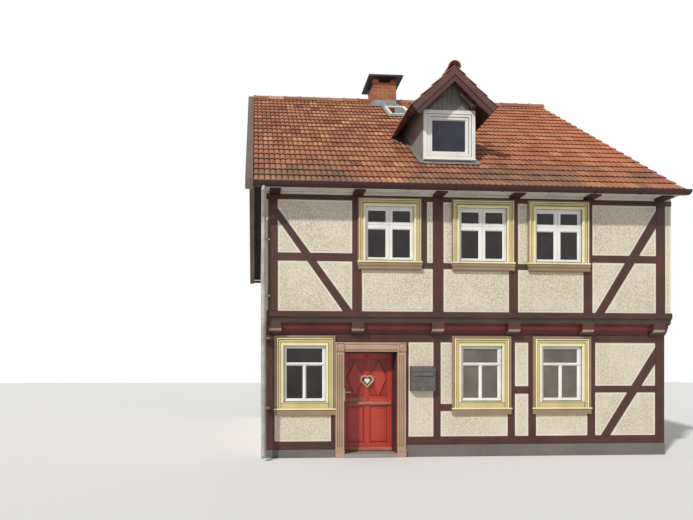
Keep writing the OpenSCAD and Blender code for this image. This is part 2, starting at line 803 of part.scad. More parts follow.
// Rows of the main roof and of the dormer, bedded on the tiles
module ridge_tiles() {
    dormer_ridge_r = ridge_r - 25;
    dormer_top = dormer_ridge_z + dormer_lift;
    dormer_end = eave_y + (dormer_top - eave_z) / slope;
    color(clay) place() {
        difference() {
            translate([tiles_x[0], ridge_y, tile_top(ridge_y) - ridge_r + 10])
                ridge_row(tiles_x[1] - tiles_x[0], ridge_r);
            tile_slope();
            rear_slope() tile_slope();
            chimney_space();
        }
        difference() {
            translate([dormer_x, dormer_front, dormer_top - dormer_ridge_r + 20]) rotate([0, 0, 90])
                ridge_row(dormer_end - dormer_front, dormer_ridge_r);
            dormer_tiles();
            main_roof_space();
        }
    }
}

// Mortar band beside the tiles at the overhanging left verge
module verge_bands() {
    band_h = 190;
    band_up = 14;
    top_z = tile_top(ridge_y) + band_up;
    module band() long_shape([-verge_out, tiles_x[0] - bed], [[eave_y, eave_z + band_up],
        [eave_y, eave_z + band_up - band_h], [ridge_y, top_z - band_h], [ridge_y, top_z]]);
    color("#8c8a86") place() {
        band();
        rear_slope() band();
    }
}

// Dormer
dormer_slope = tan(dormer_pitch);
dormer_ridge_z = dormer_eave_z + dormer_roof_half * dormer_slope;
function dormer_under(dx) = dormer_ridge_z - dx * dormer_slope;
well_y = eave_y + (dormer_under(dormer_w / 2) - eave_z) / slope;
dormer_front = dormer_y - dormer_out;
dormer_lift = dormer_roof_t / cos(dormer_pitch);
dormer_sash_w = 800;
dormer_sash_z = [5710, 6530];
roof_window_x = 3365;
roof_window_w = 510;
roof_window_l = 780;
// It ends this far below the chimney, measured on the level
roof_window_gap = 182;
roof_window_y = ridge_y - chimney_d / 2 - roof_window_gap - roof_window_l * cos(pitch);

module dormer_walls() {
    half = dormer_w / 2;
    color("#7b7870") place() difference() {
        union() {
            wall_shape([dormer_y, dormer_y + dormer_wall_t], [[dormer_x - half, tile_under(dormer_y)],
                [dormer_x + half, tile_under(dormer_y)], [dormer_x + half, dormer_under(half)],
                [dormer_x, dormer_under(0)], [dormer_x - half, dormer_under(half)]]);
            for (s = [0, 1]) long_shape([dormer_x - half + s * (dormer_w - dormer_wall_t),
                dormer_x - half + s * (dormer_w - dormer_wall_t) + dormer_wall_t],
                [[dormer_y, tile_under(dormer_y)], [well_y, tile_under(well_y)],
                [well_y, dormer_under(half)], [dormer_y, dormer_under(half)]]);
        }
        box(span(dormer_x, dormer_sash_w), [dormer_y - eps, dormer_y + dormer_wall_t + eps], dormer_sash_z);
    }
}
module dormer_window() {
    w = dormer_sash_w;
    z = dormer_sash_z;
    stile_w = 75;
    color(sash_white) place() difference() {
        union() {
            box(span(dormer_x, w), [dormer_y, dormer_y + dormer_wall_t], z);
            box(span(dormer_x, dormer_w), [dormer_y - 30, dormer_y], [z[0] - 70, z[1] + 70]);
        }
        box(span(dormer_x, w - 2 * stile_w), [dormer_y - 2 * dormer_wall_t, dormer_y + 2 * dormer_wall_t],
            [z[0] + stile_w, z[1] - stile_w]);
        box(span(dormer_x, w - 2 * stile_w + 2 * rebate_w), [dormer_y + 25, dormer_y + 2 * dormer_wall_t],
            [z[0] + stile_w - rebate_w, z[1] - stile_w + rebate_w]);
        box(span(dormer_x, w - 60), [dormer_y - 2 * dormer_wall_t, dormer_y - 15],
            [z[0] + 30, z[1] - 30]);
    }
}
module dormer_glass() {
    w = dormer_sash_w / 2 - 75 + rebate_w;
    color("#9fb0b8") place() {
        box([dormer_x - w, dormer_x + w], [dormer_y + 25, dormer_y + 25 + glass_t],
            [dormer_sash_z[0] + 75 - rebate_w, dormer_sash_z[1] - 75 + rebate_w]);
    }
}
// Space of the main roof below the top of its tiles
module main_roof_space() {
    long_shape(tiles_x, [[eave_y, 0], [eave_y, eave_z], [ridge_y, tile_top(ridge_y)], [ridge_y, 0]]);
}
module dormer_tiles() {
    half = dormer_roof_half;
    back_y = eave_y + (dormer_ridge_z + dormer_lift - eave_z) / slope;
    difference() {
        wall_shape([dormer_front, back_y], [[dormer_x - half, dormer_under(half)],
            [dormer_x, dormer_under(0)], [dormer_x + half, dormer_under(half)],
            [dormer_x + half, dormer_under(half) + dormer_lift], [dormer_x, dormer_under(0) + dormer_lift],
            [dormer_x - half, dormer_under(half) + dormer_lift]]);
        main_roof_space();
    }
}
module dormer_roof() { color(clay) place() dormer_tiles(); }
// Under the dormer overhang: verge boards in two steps, a pair of rafters, and a
// carved arch on the ends of two purlins
module dormer_trim() {
    board_h = 90;
    board_w = 30;
    rafter_d = 72;
    purlin_w = 100;
    purlin_mid = 435;
    purlin_x = span(purlin_mid, purlin_w);
    purlin_z = [6626, 6757];
    arch_y = dormer_y - 180;
    arch_t = 70;
    low_r = 422;
    low_z = purlin_z[0] - 212;
    top_r = 164;
    top_z = purlin_z[0] + 234;
    // Under the end of the dormer roof at the side s, n square to its slope
    function end(s, n) = [dormer_x + s * (dormer_roof_half - n * sin(dormer_pitch)),
        dormer_eave_z - n * cos(dormer_pitch)];
    function peak(n) = [dormer_x, dormer_under(0) - n / cos(dormer_pitch)];
    // A pair of boards along both slopes, from depth n[0] to n[1]
    module pair(y, n) wall_shape(y, [end(-1, n[0]), peak(n[0]), end(1, n[0]),
        end(1, n[1]), peak(n[1]), end(-1, n[1])]);
    color("#5c4038") place() {
        pair([dormer_front, dormer_front + board_w], [bed, board_h]);
        pair([dormer_front + board_w / 2, dormer_front + 3 * board_w / 2], [board_h, 2 * board_h]);
        pair([dormer_front + board_w, arch_y + arch_t], [bed, rafter_d]);
        pair([dormer_y - arch_t, dormer_y - bed], [bed, rafter_d]);
        difference() {
            wall_shape([arch_y, arch_y + arch_t], [
                for (x = [-1, 0, 1]) [dormer_x + x * purlin_x[1], dormer_under(abs(x) * purlin_x[1]) - bed],
                for (s = [1, -1]) [dormer_x + s * purlin_x[1], purlin_z[0]]]);
            for (hole = [[low_r, low_z], [top_r, top_z]]) translate([dormer_x, arch_y - eps, hole[1]])
                rotate([-90, 0, 0]) cylinder(r = hole[0], h = arch_t + 2 * eps);
        }
        for (s = [-1, 1])
            box(span(dormer_x + s * purlin_mid, purlin_w), [arch_y - 20, dormer_y - bed], purlin_z);
    }
}

// The flue opens at the sides, between four short piers under the slab
pier_h = 84;
module chimney() {
    color(brick) place() difference() {
        chimney_space();
        box([chimney_x + chimney_wall, chimney_x + chimney_w - chimney_wall],
            [ridge_y - chimney_d / 2 + chimney_wall, ridge_y + chimney_d / 2 - chimney_wall],
            [slab_t + 300, chimney_top + eps]);
        for (turn = [0, 1]) translate([chimney_x + chimney_w / 2, ridge_y, chimney_top - pier_h])
            rotate([0, 0, turn * 90]) translate([-170, -500, 0]) cube([340, 1000, pier_h + eps]);
    }
}
module chimney_cap() {
    color("#2f2e30") place() box([chimney_x - cap_out, chimney_x + chimney_w + cap_out],
        span(ridge_y, chimney_d + 2 * cap_out), [chimney_top, chimney_top + cap_t]);
}

// Small roof window: a white frame in the slope with its pane
module roof_window() {
    frame_w = 55;
    top = tile_t + 35;
    color(sash_white) place() difference() {
        roof_window_block(0, [0, top]);
        roof_window_block(frame_w, [-eps, top - 20]);
        roof_window_block(frame_w, [top - 20 + glass_t, top + eps]);
    }
}

module gutters() {
    length = tiles_x[1] - tiles_x[0];
    module gutter() translate([tiles_x[0], under_y - gutter_r, under_z - 15])
        rotate([0, 90, 0]) difference() {
            cylinder(r = gutter_r, h = length);
            translate([0, 0, 3]) cylinder(r = gutter_r - 3, h = length - 6);
            translate([-2 * gutter_r, -2 * gutter_r, -eps])
                cube([2 * gutter_r, 4 * gutter_r, length + 2 * eps]);
        }
    color("#6b3a34") place() {
        gutter();
        rear_slope() gutter();
    }
}

// Downpipe with a swan neck from the gutter to the wall
module downpipe() {
    x = -50;
    top_y = under_y - gutter_r;
    wall_y = upper_y - pipe_r - 30;
    top_z = under_z - 15 - gutter_r;
    neck_z = top_z - 420;
    outlet_z = top_z - 60;
    foot_z = 120;
    run = [wall_y - top_y, outlet_z - neck_z];
    lean = atan(run[0] / run[1]);
    clip_h = 30;
    bead_r = pipe_r + 4;
    color("#b4b8ba") place() {
        translate([x, wall_y, foot_z]) cylinder(r = pipe_r, h = neck_z - foot_z);
        translate([x, wall_y, foot_z]) sphere(r = bead_r);
        translate([x, wall_y, foot_z]) rotate([110, 0, 0]) cylinder(r = pipe_r, h = 110);
        translate([x, wall_y, neck_z]) sphere(r = bead_r);
        translate([x, wall_y, neck_z]) rotate([lean, 0, 0]) cylinder(r = pipe_r, h = norm(run));
        translate([x, top_y, outlet_z]) sphere(r = bead_r);
        difference() {
            translate([x, top_y, outlet_z]) cylinder(r = pipe_r, h = 60 + gutter_r / 2);
            translate([x - 2 * pipe_r, top_y, top_z + gutter_r]) rotate([0, 90, 0])
                cylinder(r = gutter_r, h = 4 * pipe_r);
        }
        for (clip = [[900, 0], [2150, 0], [2900, upper_y], [3900, upper_y]]) {
            translate([x, wall_y, clip[0]]) cylinder(r = bead_r, h = clip_h);
            box([x, 60], [wall_y + pipe_r - 6, clip[1]], [clip[0], clip[0] + clip_h]);
        }
    }
}

plinth();
ground_floor();
left_party_wall();
right_party_wall();
ground_frame();
ground_infill();
lower_plate();
floor_beams();
fill_timbers();
upper_floor();
upper_sill();
upper_frame();
upper_infill();
attic_beams();
attic_floor();
rear_frame();
rear_infill();
window_casings();
window_sashes();
window_glass();
door_surround();
door_frame();
threshold();
door_pintles();
door_leaf();
door_straps();
door_handle();
door_wreath();
mailbox();
front_rafters();
rear_rafters();
eaves_boards();
front_roof();
rear_roof();
ridge_tiles();
verge_bands();
dormer_walls();
dormer_window();
dormer_glass();
dormer_roof();
dormer_trim();
chimney();
chimney_cap();
roof_window();
gutters();
downpipe();
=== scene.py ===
import math
import random

import bmesh
import bpy
import numpy as np
from mathutils import Matrix, Vector


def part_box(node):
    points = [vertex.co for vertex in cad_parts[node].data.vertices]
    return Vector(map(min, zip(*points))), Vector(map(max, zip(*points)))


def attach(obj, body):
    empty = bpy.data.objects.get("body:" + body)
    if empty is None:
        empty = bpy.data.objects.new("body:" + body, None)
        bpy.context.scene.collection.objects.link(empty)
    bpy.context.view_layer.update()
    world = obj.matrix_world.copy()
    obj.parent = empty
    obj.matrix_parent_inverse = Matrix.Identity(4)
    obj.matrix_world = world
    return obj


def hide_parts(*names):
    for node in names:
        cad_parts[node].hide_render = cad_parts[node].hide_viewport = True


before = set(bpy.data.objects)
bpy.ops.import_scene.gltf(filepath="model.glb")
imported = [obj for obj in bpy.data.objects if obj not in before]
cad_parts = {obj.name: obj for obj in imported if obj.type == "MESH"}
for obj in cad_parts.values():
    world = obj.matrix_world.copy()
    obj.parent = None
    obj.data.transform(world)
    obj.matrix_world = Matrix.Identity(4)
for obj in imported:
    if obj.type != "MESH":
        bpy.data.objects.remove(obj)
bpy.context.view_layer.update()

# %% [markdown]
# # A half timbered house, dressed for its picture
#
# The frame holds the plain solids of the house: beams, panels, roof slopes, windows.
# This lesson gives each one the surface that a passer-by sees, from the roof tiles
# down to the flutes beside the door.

scene = bpy.context.scene

# %% [markdown]
# ## The camera
#
# The picture was taken at eye level from the street, with the house above the level
# line. Turning a camera up would make the walls lean, so the camera looks straight
# ahead and its picture is shifted up. The 500 pixel focal length came from the
# width of the front, and the small turn from the lines of the gutter and plinth.

# %% Camera
# Pixels of the picture: its width, the focal length, its middle and its vanishing point
PHOTO_W, FOCAL, MIDDLE, VANISHING = 693, 500, (346.5, 260), (283, 372)


def linked(name, data):
    """Puts an object with this data in the scene."""
    new = bpy.data.objects.new(name, data)
    scene.collection.objects.link(new)
    return new


lens_data = bpy.data.cameras.new("street_camera")
camera = linked("street_camera", lens_data)
camera.location = (-3.975, -13.24, 1.56)
camera.rotation_euler = (math.radians(90), 0, math.radians(-3.2))
lens_data.sensor_width = 36
lens_data.lens = FOCAL / PHOTO_W * lens_data.sensor_width
lens_data.shift_x = (MIDDLE[0] - VANISHING[0]) / PHOTO_W
lens_data.shift_y = (VANISHING[1] - MIDDLE[1]) / PHOTO_W
scene.camera = camera
scene.view_settings.view_transform = "Standard"
print("camera", round(lens_data.lens, 1), "mm")

# %% [markdown]
# ## Measures
#
# A builder measures a front from its left end, its face and the street, in
# millimetres. `at` turns such a measure into a point of the model, whose origin lies
# under the middle of the house, and `mm` turns it back. A block or a timber is given
# by spans, and a span is a pair of such measures.

# %% Measures
# The house, how far its upper storey stands out, and the pitch of its roof
HOUSE_W, HOUSE_D, JETTY, PITCH = 7550, 8360, -160, math.radians(40.5)
# Heights: both storeys' posts end under their plates, and the sill lies on the beams
GROUND_PLATE, SILL_Z, UPPER_Z, UPPER_PLATE = 2113, 2459, 2650, 4645


def at(f, y, z):
    """A point from millimetres along the front, behind its face and over the street."""
    return Vector(((f - HOUSE_W / 2) / 1000, (y - HOUSE_D / 2) / 1000, z / 1000))


def mm(point):
    """A point of the frame in facade millimetres."""
    return (point.x * 1000 + HOUSE_W / 2, point.y * 1000 + HOUSE_D / 2, point.z * 1000)


print("front", HOUSE_W, "mm wide, its corner at", [round(v, 2) for v in at(0, 0, 0)])

# %% [markdown]
# ## Light
#
# A studio lights a model from one large lamp at the upper left, as the sun does in
# the picture, and from pale walls all round. Both are kept at the level where a
# painted colour comes out about as it was mixed. What the camera and the glass see
# of the world is made white with Light Path, so that no extra light is needed for it.

# %% Light
def node(tree, kind, inputs={}, **settings):
    """Adds one shader node; an input is a value or another node's output."""
    new = tree.nodes.new("ShaderNode" + kind)
    for key, value in settings.items():
        setattr(new, key, value)
    for key, value in inputs.items():
        if isinstance(value, bpy.types.NodeSocket):
            tree.links.new(value, new.inputs[key])
        else:
            new.inputs[key].default_value = value
    return new


LAMP_POWER, SKY_POWER = 3.0, 0.4
world = bpy.data.worlds.new("pale_studio")
scene.world = world
world.use_nodes = True
sky = world.node_tree
sky.nodes.clear()
path = node(sky, "LightPath")
seen = node(sky, "Math", {0: path.outputs["Is Camera Ray"], 1: path.outputs["Is Glossy Ray"]},
            operation="ADD")
through = node(sky, "Math", {0: seen.outputs[0], 1: path.outputs["Is Transmission Ray"]},
               operation="ADD", use_clamp=True)
pale = node(sky, "Background", {"Color": (0.93, 0.96, 1, 1), "Strength": SKY_POWER})
white = node(sky, "Background", {"Color": (1, 1, 1, 1), "Strength": 1})
both = node(sky, "MixShader", {0: through.outputs[0], 1: pale.outputs[0], 2: white.outputs[0]})
node(sky, "OutputWorld", {"Surface": both.outputs[0]})

lamp_data = bpy.data.lights.new("key_lamp", "SUN")
lamp_data.energy = LAMP_POWER
lamp_data.angle = math.radians(3)
lamp_data.color = (1, 0.965, 0.91)
lamp = linked("key_lamp", lamp_data)
lamp.rotation_euler = (math.radians(53), 0, math.radians(-45))
print("lamp", LAMP_POWER, "and sky", SKY_POWER)

# %% [markdown]
# The floor is one large plane, 2 mm under the house. It belongs to the picture and
# not to the model.

# %% Floor
def settled(name):
    """Names the new primitive and puts its place, turn and size into its mesh."""
    piece = bpy.context.object
    piece.name = name
    bpy.ops.object.transform_apply(location=True, rotation=True, scale=True)
    return piece


bpy.ops.mesh.primitive_plane_add(size=120, location=(0, 0, -0.002))
floor = settled("studio_floor")
floor_paint = bpy.data.materials.new("pale_floor")
floor_paint.use_nodes = True
floor_shader = floor_paint.node_tree.nodes["Principled BSDF"]
floor_shader.inputs["Base Color"].default_value = (0.78, 0.78, 0.77, 1)
floor_shader.inputs["Roughness"].default_value = 0.9
floor.data.materials.append(floor_paint)
print("floor", list(floor.dimensions))

# %% [markdown]
# ## Tools of the bench
#
# Each piece starts as a primitive and is shaped in edit mode. Operators act on what
# is selected, so `only` first leaves one object selected, and `opened` selects all of
# its mesh. `cut_out` gives the form that most of a house is made of, an outline sawn
# from a board: it moves the points of a circle to the outline and extrudes its face.

# %% Tools of the bench
def only(piece):
    """Leaves this piece alone selected and active, in object mode."""
    if bpy.context.object and bpy.context.object.mode != "OBJECT":
        bpy.ops.object.mode_set(mode="OBJECT")
    bpy.ops.object.select_all(action="DESELECT")
    piece.select_set(True)
    bpy.context.view_layer.objects.active = piece


def opened(piece):
    """Goes to edit mode with all of a piece selected."""
    only(piece)
    bpy.ops.object.mode_set(mode="EDIT")
    bpy.ops.mesh.select_all(action="SELECT")


def closed(piece):
    """Turns the normals outward and leaves edit mode."""
    bpy.ops.mesh.select_all(action="SELECT")
    bpy.ops.mesh.normals_make_consistent(inside=False)
    bpy.ops.object.mode_set(mode="OBJECT")
    return piece


def cut_out(name, points, depth, along="Y"):
    """An outline extruded through depth: (f, z) points along Y, (y, z) along X, (f, y) along Z."""
    bpy.ops.mesh.primitive_circle_add(vertices=len(points), fill_type="NGON")
    piece = settled(name)
    for v, p in zip(piece.data.vertices, points):
        v.co = {"X": at(depth[0], *p), "Y": at(p[0], depth[0], p[1]), "Z": at(*p, depth[0])}[along]
    opened(piece)
    way = (depth[1] - depth[0]) / 1000
    move = {"X": (way, 0, 0), "Y": (0, way, 0), "Z": (0, 0, way)}[along]
    bpy.ops.mesh.extrude_region_move(TRANSFORM_OT_translate={"value": move})
    return closed(piece)


print("outlines can be sawn")

# %% [markdown]
# Pieces are joined, and their edges are eased with a plane, because a sharp edge of
# wood or stone doesn't last and catches no light. A Bevel modifier does that to every
# edge sharper than an angle. Modifiers are applied at once, so that the next tool
# works on the real mesh.

# %% Joining and easing
def joined(name, pieces):
    """Several pieces as one, with one mesh."""
    only(pieces[0])
    for p in pieces:
        p.select_set(True)
    if len(pieces) > 1:
        bpy.ops.object.join()
    piece = bpy.context.object
    piece.name = name
    return piece


def modified(piece, kind, **settings):
    """Adds a modifier with its settings and applies it."""
    only(piece)
    m = piece.modifiers.new(kind.lower(), kind)
    for key, value in settings.items():
        setattr(m, key, value)
    bpy.ops.object.modifier_apply(modifier=m.name)
    return piece


def eased(piece, width, segments=2, angle=30):
    """Rounds the edges sharper than an angle with a bevel of width millimetres."""
    return modified(piece, "BEVEL", width=width / 1000, segments=segments, limit_method="ANGLE",
                    angle_limit=math.radians(angle))


def moved(piece, f, y, z, turned=False):
    """A copy with its own mesh, moved by millimetres, and turned to the rear wall if asked."""
    new = linked(piece.name, piece.data.copy())
    new.data.transform(Matrix.Translation((f / 1000, y / 1000, z / 1000)))
    if turned:
        new.data.transform(Matrix.Rotation(math.pi, 4, "Z"))
    return new


print("pieces can be joined and eased")

# %% [markdown]
# Paint and grain run along the wood, whichever way it is turned, so each piece gets a
# UV map in metres whose U follows the grain. `placed` then hands a finished piece
# over: its paints, the body it rides on and the plain solids that it stands for.
# Weighted normals keep its broad faces flat beside the bevels.

# %% Grain and finish
def grained(piece, way, seed=0):
    """Lays the grain: a UV map in metres with U along the wood."""
    mesh = piece.data
    way = Vector(way).normalized()
    side = way.cross(Vector((0, 1, 0)))
    if side.length < 0.1:
        side = Vector((1, 0, 0))
    side.normalize()
    up = way.cross(side)
    co = np.empty(len(mesh.vertices) * 3)
    mesh.vertices.foreach_get("co", co)
    co = co.reshape(-1, 3)
    corner = np.empty(len(mesh.loops), int)
    mesh.loops.foreach_get("vertex_index", corner)
    shift = random.Random(seed).random() * 9
    uv = np.column_stack([co @ np.array(way) + shift,
                          co @ np.array(side) + co @ np.array(up) + shift])[corner]
    layer = mesh.uv_layers.get("Grain") or mesh.uv_layers.new(name="Grain")
    layer.data.foreach_set("uv", uv.ravel())
    return piece


def placed(piece, paints, stands_for=(), body="house", smooth=35, pick=None):
    """Gives a finished piece its paints, its body and the solids it stands for."""
    if paints:
        piece.data.materials.clear()
        for p in paints:
            piece.data.materials.append(p)
        piece.data.polygons.foreach_set("material_index", [0] * len(piece.data.polygons))
    if pick:
        for p in piece.data.polygons:
            p.material_index = pick(p.center, p.normal)
    if smooth:
        only(piece)
        bpy.ops.object.shade_smooth_by_angle(angle=math.radians(smooth))
        modified(piece, "WEIGHTED_NORMAL", keep_sharp=True)
    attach(piece, body)
    if stands_for:
        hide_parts(*stands_for)
    return piece


print("pieces can be finished")

# %% [markdown]
# ## Paints, plaster, clay and metal
#
# Real finishes are never one flat colour. Paint follows the brush and the grain,
# plaster shows its grit, clay changes from tile to tile. Every finish is a Principled
# shader whose colour swings between a deep and a pale tone, with a fine relief from
# the same pattern. `srgb` turns the colours, written as on a paint card, into
# the linear values that the shader wants. `clouds`, `spread` and `over` are the steps
# that all finishes share: a pattern, its range, and a colour laid on by it.

# %% Colours and the bare finish
def srgb(code):
    """Linear colour from a hex colour card value."""
    parts = [int(code[i:i + 2], 16) / 255 for i in (1, 3, 5)]
    return tuple(v / 12.92 if v <= 0.04045 else ((v + 0.055) / 1.055) ** 2.4 for v in parts) + (1,)


def bare(name, roughness, sockets={}):
    """A material with its Principled shader, ready for its patterns."""
    paint = bpy.data.materials.new(name)
    paint.use_nodes = True
    tree = paint.node_tree
    shader = tree.nodes["Principled BSDF"]
    shader.inputs["Roughness"].default_value = roughness
    for key, value in sockets.items():
        shader.inputs[key].default_value = value
    return paint, tree, shader


def clouds(tree, place, scale, detail=5.0, roughness=0.5):
    """A noise pattern laid over a place."""
    return node(tree, "TexNoise", {"Vector": place, "Scale": scale, "Detail": detail,
                                   "Roughness": roughness}).outputs[0]


def spread(tree, value, low=0.0, high=1.0, least=0.0, most=1.0):
    """A value between low and high, spread from least to most."""
    return node(tree, "MapRange", {"Value": value, "From Min": low, "From Max": high,
                                   "To Min": least, "To Max": most}).outputs[0]


def blend(tree, share, first, second):
    """A mix of two patterns."""
    return node(tree, "Mix", {0: share, 2: first, 3: second}).outputs[0]


def over(tree, amount, ground, code):
    """A colour laid over a ground colour by an amount."""
    return node(tree, "Mix", {0: amount, 6: ground, 7: srgb(code)}, data_type="RGBA").outputs[2]


def lifted(tree, shader, pattern, relief_mm, strength):
    """Gives a shader relief by a pattern."""
    bump = node(tree, "Bump", {"Height": pattern, "Distance": relief_mm / 1000, "Strength": strength})
    tree.links.new(bump.outputs[0], shader.inputs["Normal"])


def two_tone(tree, shader, pattern, deep, pale, low, high, relief_mm=0.0, strength=0.6):
    """Colours a shader between two tones by a pattern, and lifts its relief."""
    colour = over(tree, spread(tree, pattern, low, high), srgb(deep), pale)
    tree.links.new(colour, shader.inputs["Base Color"])
    if relief_mm:
        lifted(tree, shader, pattern, relief_mm, strength)
    return colour


# %% [markdown]
# ### Painted and bare wood
#
# Linseed paint on old timber lets the grain show as long streaks, fades unevenly and
# splits open along the grain in short dark checks. The streaks follow the Grain map
# of each piece. A streak is about 9 mm wide and 400 mm long on an oak beam, and 4 mm
# wide on planed boards.

# %% Painted wood
def painted_wood(name, deep, pale, roughness, streak_mm, relief_mm, checks=0.0):
    """Wood with streaks along its grain, and dark checks where they are asked for."""
    paint, tree, shader = bare(name, roughness)
    grain_map = node(tree, "UVMap", uv_map="Grain")
    along = node(tree, "Mapping", {"Vector": grain_map.outputs[0], "Scale": (2.5, 1000 / streak_mm, 1)})
    streaks = clouds(tree, along.outputs[0], 1.0, 4.0, 0.6)
    patches = clouds(tree, node(tree, "TexCoord").outputs["Object"], 2.6, 4.0)
    colour = two_tone(tree, shader, blend(tree, 0.45, streaks, patches), deep, pale, 0.36, 0.64, relief_mm)
    if checks:
        # The dark splits are 2 mm wide on the beam, drawn at 5 mm so that they show
        narrow = node(tree, "Mapping", {"Vector": grain_map.outputs[0], "Scale": (1.6, 95, 1)})
        splits = spread(tree, clouds(tree, narrow.outputs[0], 1.0, 2.0), 0.66, 0.7, most=checks)
        tree.links.new(over(tree, splits, colour, "#1E1412"), shader.inputs["Base Color"])
    gloss = spread(tree, streaks, least=roughness - 0.12, most=roughness + 0.12)
    tree.links.new(gloss, shader.inputs["Roughness"])
    return paint


# Oak under dark red brown linseed paint: half matt, long streaks, open checks
oak_brown = painted_wood("oak_red_brown_paint", "#341A10", "#512D21", 0.56, 9, 0.7, 0.75)
# The ends of the floor beams, weathered to a greyer brown
oak_grey = painted_wood("oak_weathered_brown", "#3C2217", "#5A3A2D", 0.62, 12, 0.7, 0.6)
# The round mouldings at the foot of the beam ends, in a pale oak colour
oak_pale = painted_wood("oak_pale_roll", "#8E7460", "#C3A88F", 0.66, 12, 0.6)
# Painted shade in the hollow over the beam ends and under their rolls, in a dark olive brown
hollow_shade_olive = painted_wood("oak_hollow_painted_shade", "#2E271D", "#463B2B", 0.6, 10, 0.5)
# Dark red boards between the beam ends; the lower board is a darker copy of the red, painted shade
board_red = painted_wood("board_dark_red_paint", "#571713", "#7C2621", 0.5, 6, 0.4, 0.3)
board_red_shaded = painted_wood("board_red_painted_shade", "#3B1110", "#571C19", 0.52, 6, 0.4)
# Bare spruce of rafters and floors, sawn and gone brown
spruce = painted_wood("spruce_sawn", "#74573A", "#A38257", 0.72, 7, 0.6, 0.4)
# Casings: cream, straw yellow and tan alkyd paint on planed boards
casing_cream = painted_wood("casing_cream_paint", "#DCCFA4", "#EFE6C4", 0.42, 4, 0.25)
casing_yellow = painted_wood("casing_straw_paint", "#BBAB70", "#D2C38A", 0.42, 4, 0.25)
casing_tan = painted_wood("casing_tan_paint", "#866F55", "#9C856A", 0.45, 4, 0.3)
# Painted shade for grooves, recesses and gaps, in a dark brown
groove_shade = painted_wood("groove_painted_shade", "#4A3B28", "#655338", 0.6, 4, 0.2)
# White gloss on the sashes
sash_white = painted_wood("sash_white_gloss", "#DAD8D2", "#F0EFEB", 0.3, 4, 0.15)
# Salmon tan on the door surround, with a darker tan painted as shade in its flutes
surround_shade = painted_wood("surround_flute_shade", "#7C6350", "#99806B", 0.6, 5, 0.3)
surround_tan = painted_wood("surround_tan_paint", "#A0846D", "#BB9F88", 0.48, 5, 0.35, 0.15)
# The red door, satin, with darker rails
door_red = painted_wood("door_red_satin", "#A3342A", "#BE4335", 0.38, 5, 0.3)
# Paler worn paint on the kick board; the same paint on the drip ledge is a painted highlight of its lit top
door_worn_and_lit = painted_wood("door_kick_worn_ledge_lit_paint", "#8A4036", "#B87A66", 0.55, 5, 0.3, 0.3)
door_dark = painted_wood("door_rail_red_satin", "#862620", "#9B2F27", 0.38, 5, 0.3)
# Dark brown on the door lining, and as painted shade on the soffit under the dormer roof
lining_brown_and_soffit_shade = painted_wood("lining_dark_and_soffit_shade", "#3A1F1C", "#522E29", 0.5, 6, 0.4)
# Off white eaves boards, greyed by the weather
eaves_white = painted_wood("eaves_off_white_paint", "#BDB9B0", "#D9D6CF", 0.55, 5, 0.3)
# Dormer: grey stained boards and brown painted timber
dormer_grey = painted_wood("dormer_grey_stain", "#6A6660", "#928D85", 0.7, 6, 0.7, 0.5)
dormer_brown = painted_wood("dormer_brown_paint", "#40291F", "#634436", 0.58, 7, 0.6, 0.5)
print("wood finishes ready")

# %% [markdown]
# ### Plaster and stone
#
# Roughcast is thrown on wet with a grit of 6 to 10 mm. At the distance of the picture
# that grit would vanish, so it is drawn at about 20 mm. Round each panel runs a
# smooth float finished margin, and the party walls are float finished all over.

# %% Plaster and stone
def gritty(name, deep, pale, grain_mm, relief_mm, roughness, patch, high=0.7):
    """Mineral surfaces: cells of grit, broken up by noise, over large weather patches."""
    paint, tree, shader = bare(name, roughness)
    place = node(tree, "TexCoord").outputs["Object"]
    grit = node(tree, "TexVoronoi", {"Vector": place, "Scale": 1000 / grain_mm, "Randomness": 1.0})
    broken = blend(tree, 0.5, grit.outputs["Distance"], clouds(tree, place, 1400 / grain_mm, 3.0))
    two_tone(tree, shader, blend(tree, patch, broken, clouds(tree, place, 1.3)), deep, pale, 0.3, high)
    lifted(tree, shader, broken, relief_mm, 0.9)
    return paint


roughcast = gritty("roughcast_cream", "#A39781", "#DCD3C0", 21, 7, 0.92, 0.18, 0.56)
smooth_margin = gritty("float_margin_pale", "#D5CCBA", "#E8E1D2", 5, 0.6, 0.85, 0.5)
wall_render = gritty("float_render", "#BDB5A5", "#D2CBBD", 4, 0.8, 0.88, 0.6)
plinth_stone = gritty("plinth_grey_render", "#5A5651", "#7C766F", 9, 2.0, 0.88, 0.4)
step_stone = gritty("step_sandstone", "#7C7A74", "#9E9B92", 4, 0.8, 0.8, 0.5)
verge_mortar = gritty("verge_lime_mortar", "#4F4641", "#7A6E65", 12, 3.0, 0.92, 0.3)
joint_mortar = gritty("joint_mortar", "#8D7F6E", "#B5A792", 5, 1.0, 0.92, 0.4)
cap_slab = gritty("cap_slate_slab", "#232325", "#3A3A3C", 8, 1.0, 0.6, 0.5)
print("mineral finishes ready")

# %% [markdown]
# ### Fired clay
#
# Tiles and bricks come out of the kiln in many shades. Each one carries its own
# number, from 0 to 1, in an attribute named tone, and the material turns it into
# a shade. Weather works over the whole slope: dark lichen near the eaves, yellow
# lichen near the ridge, and fresher orange tiles towards the right end.

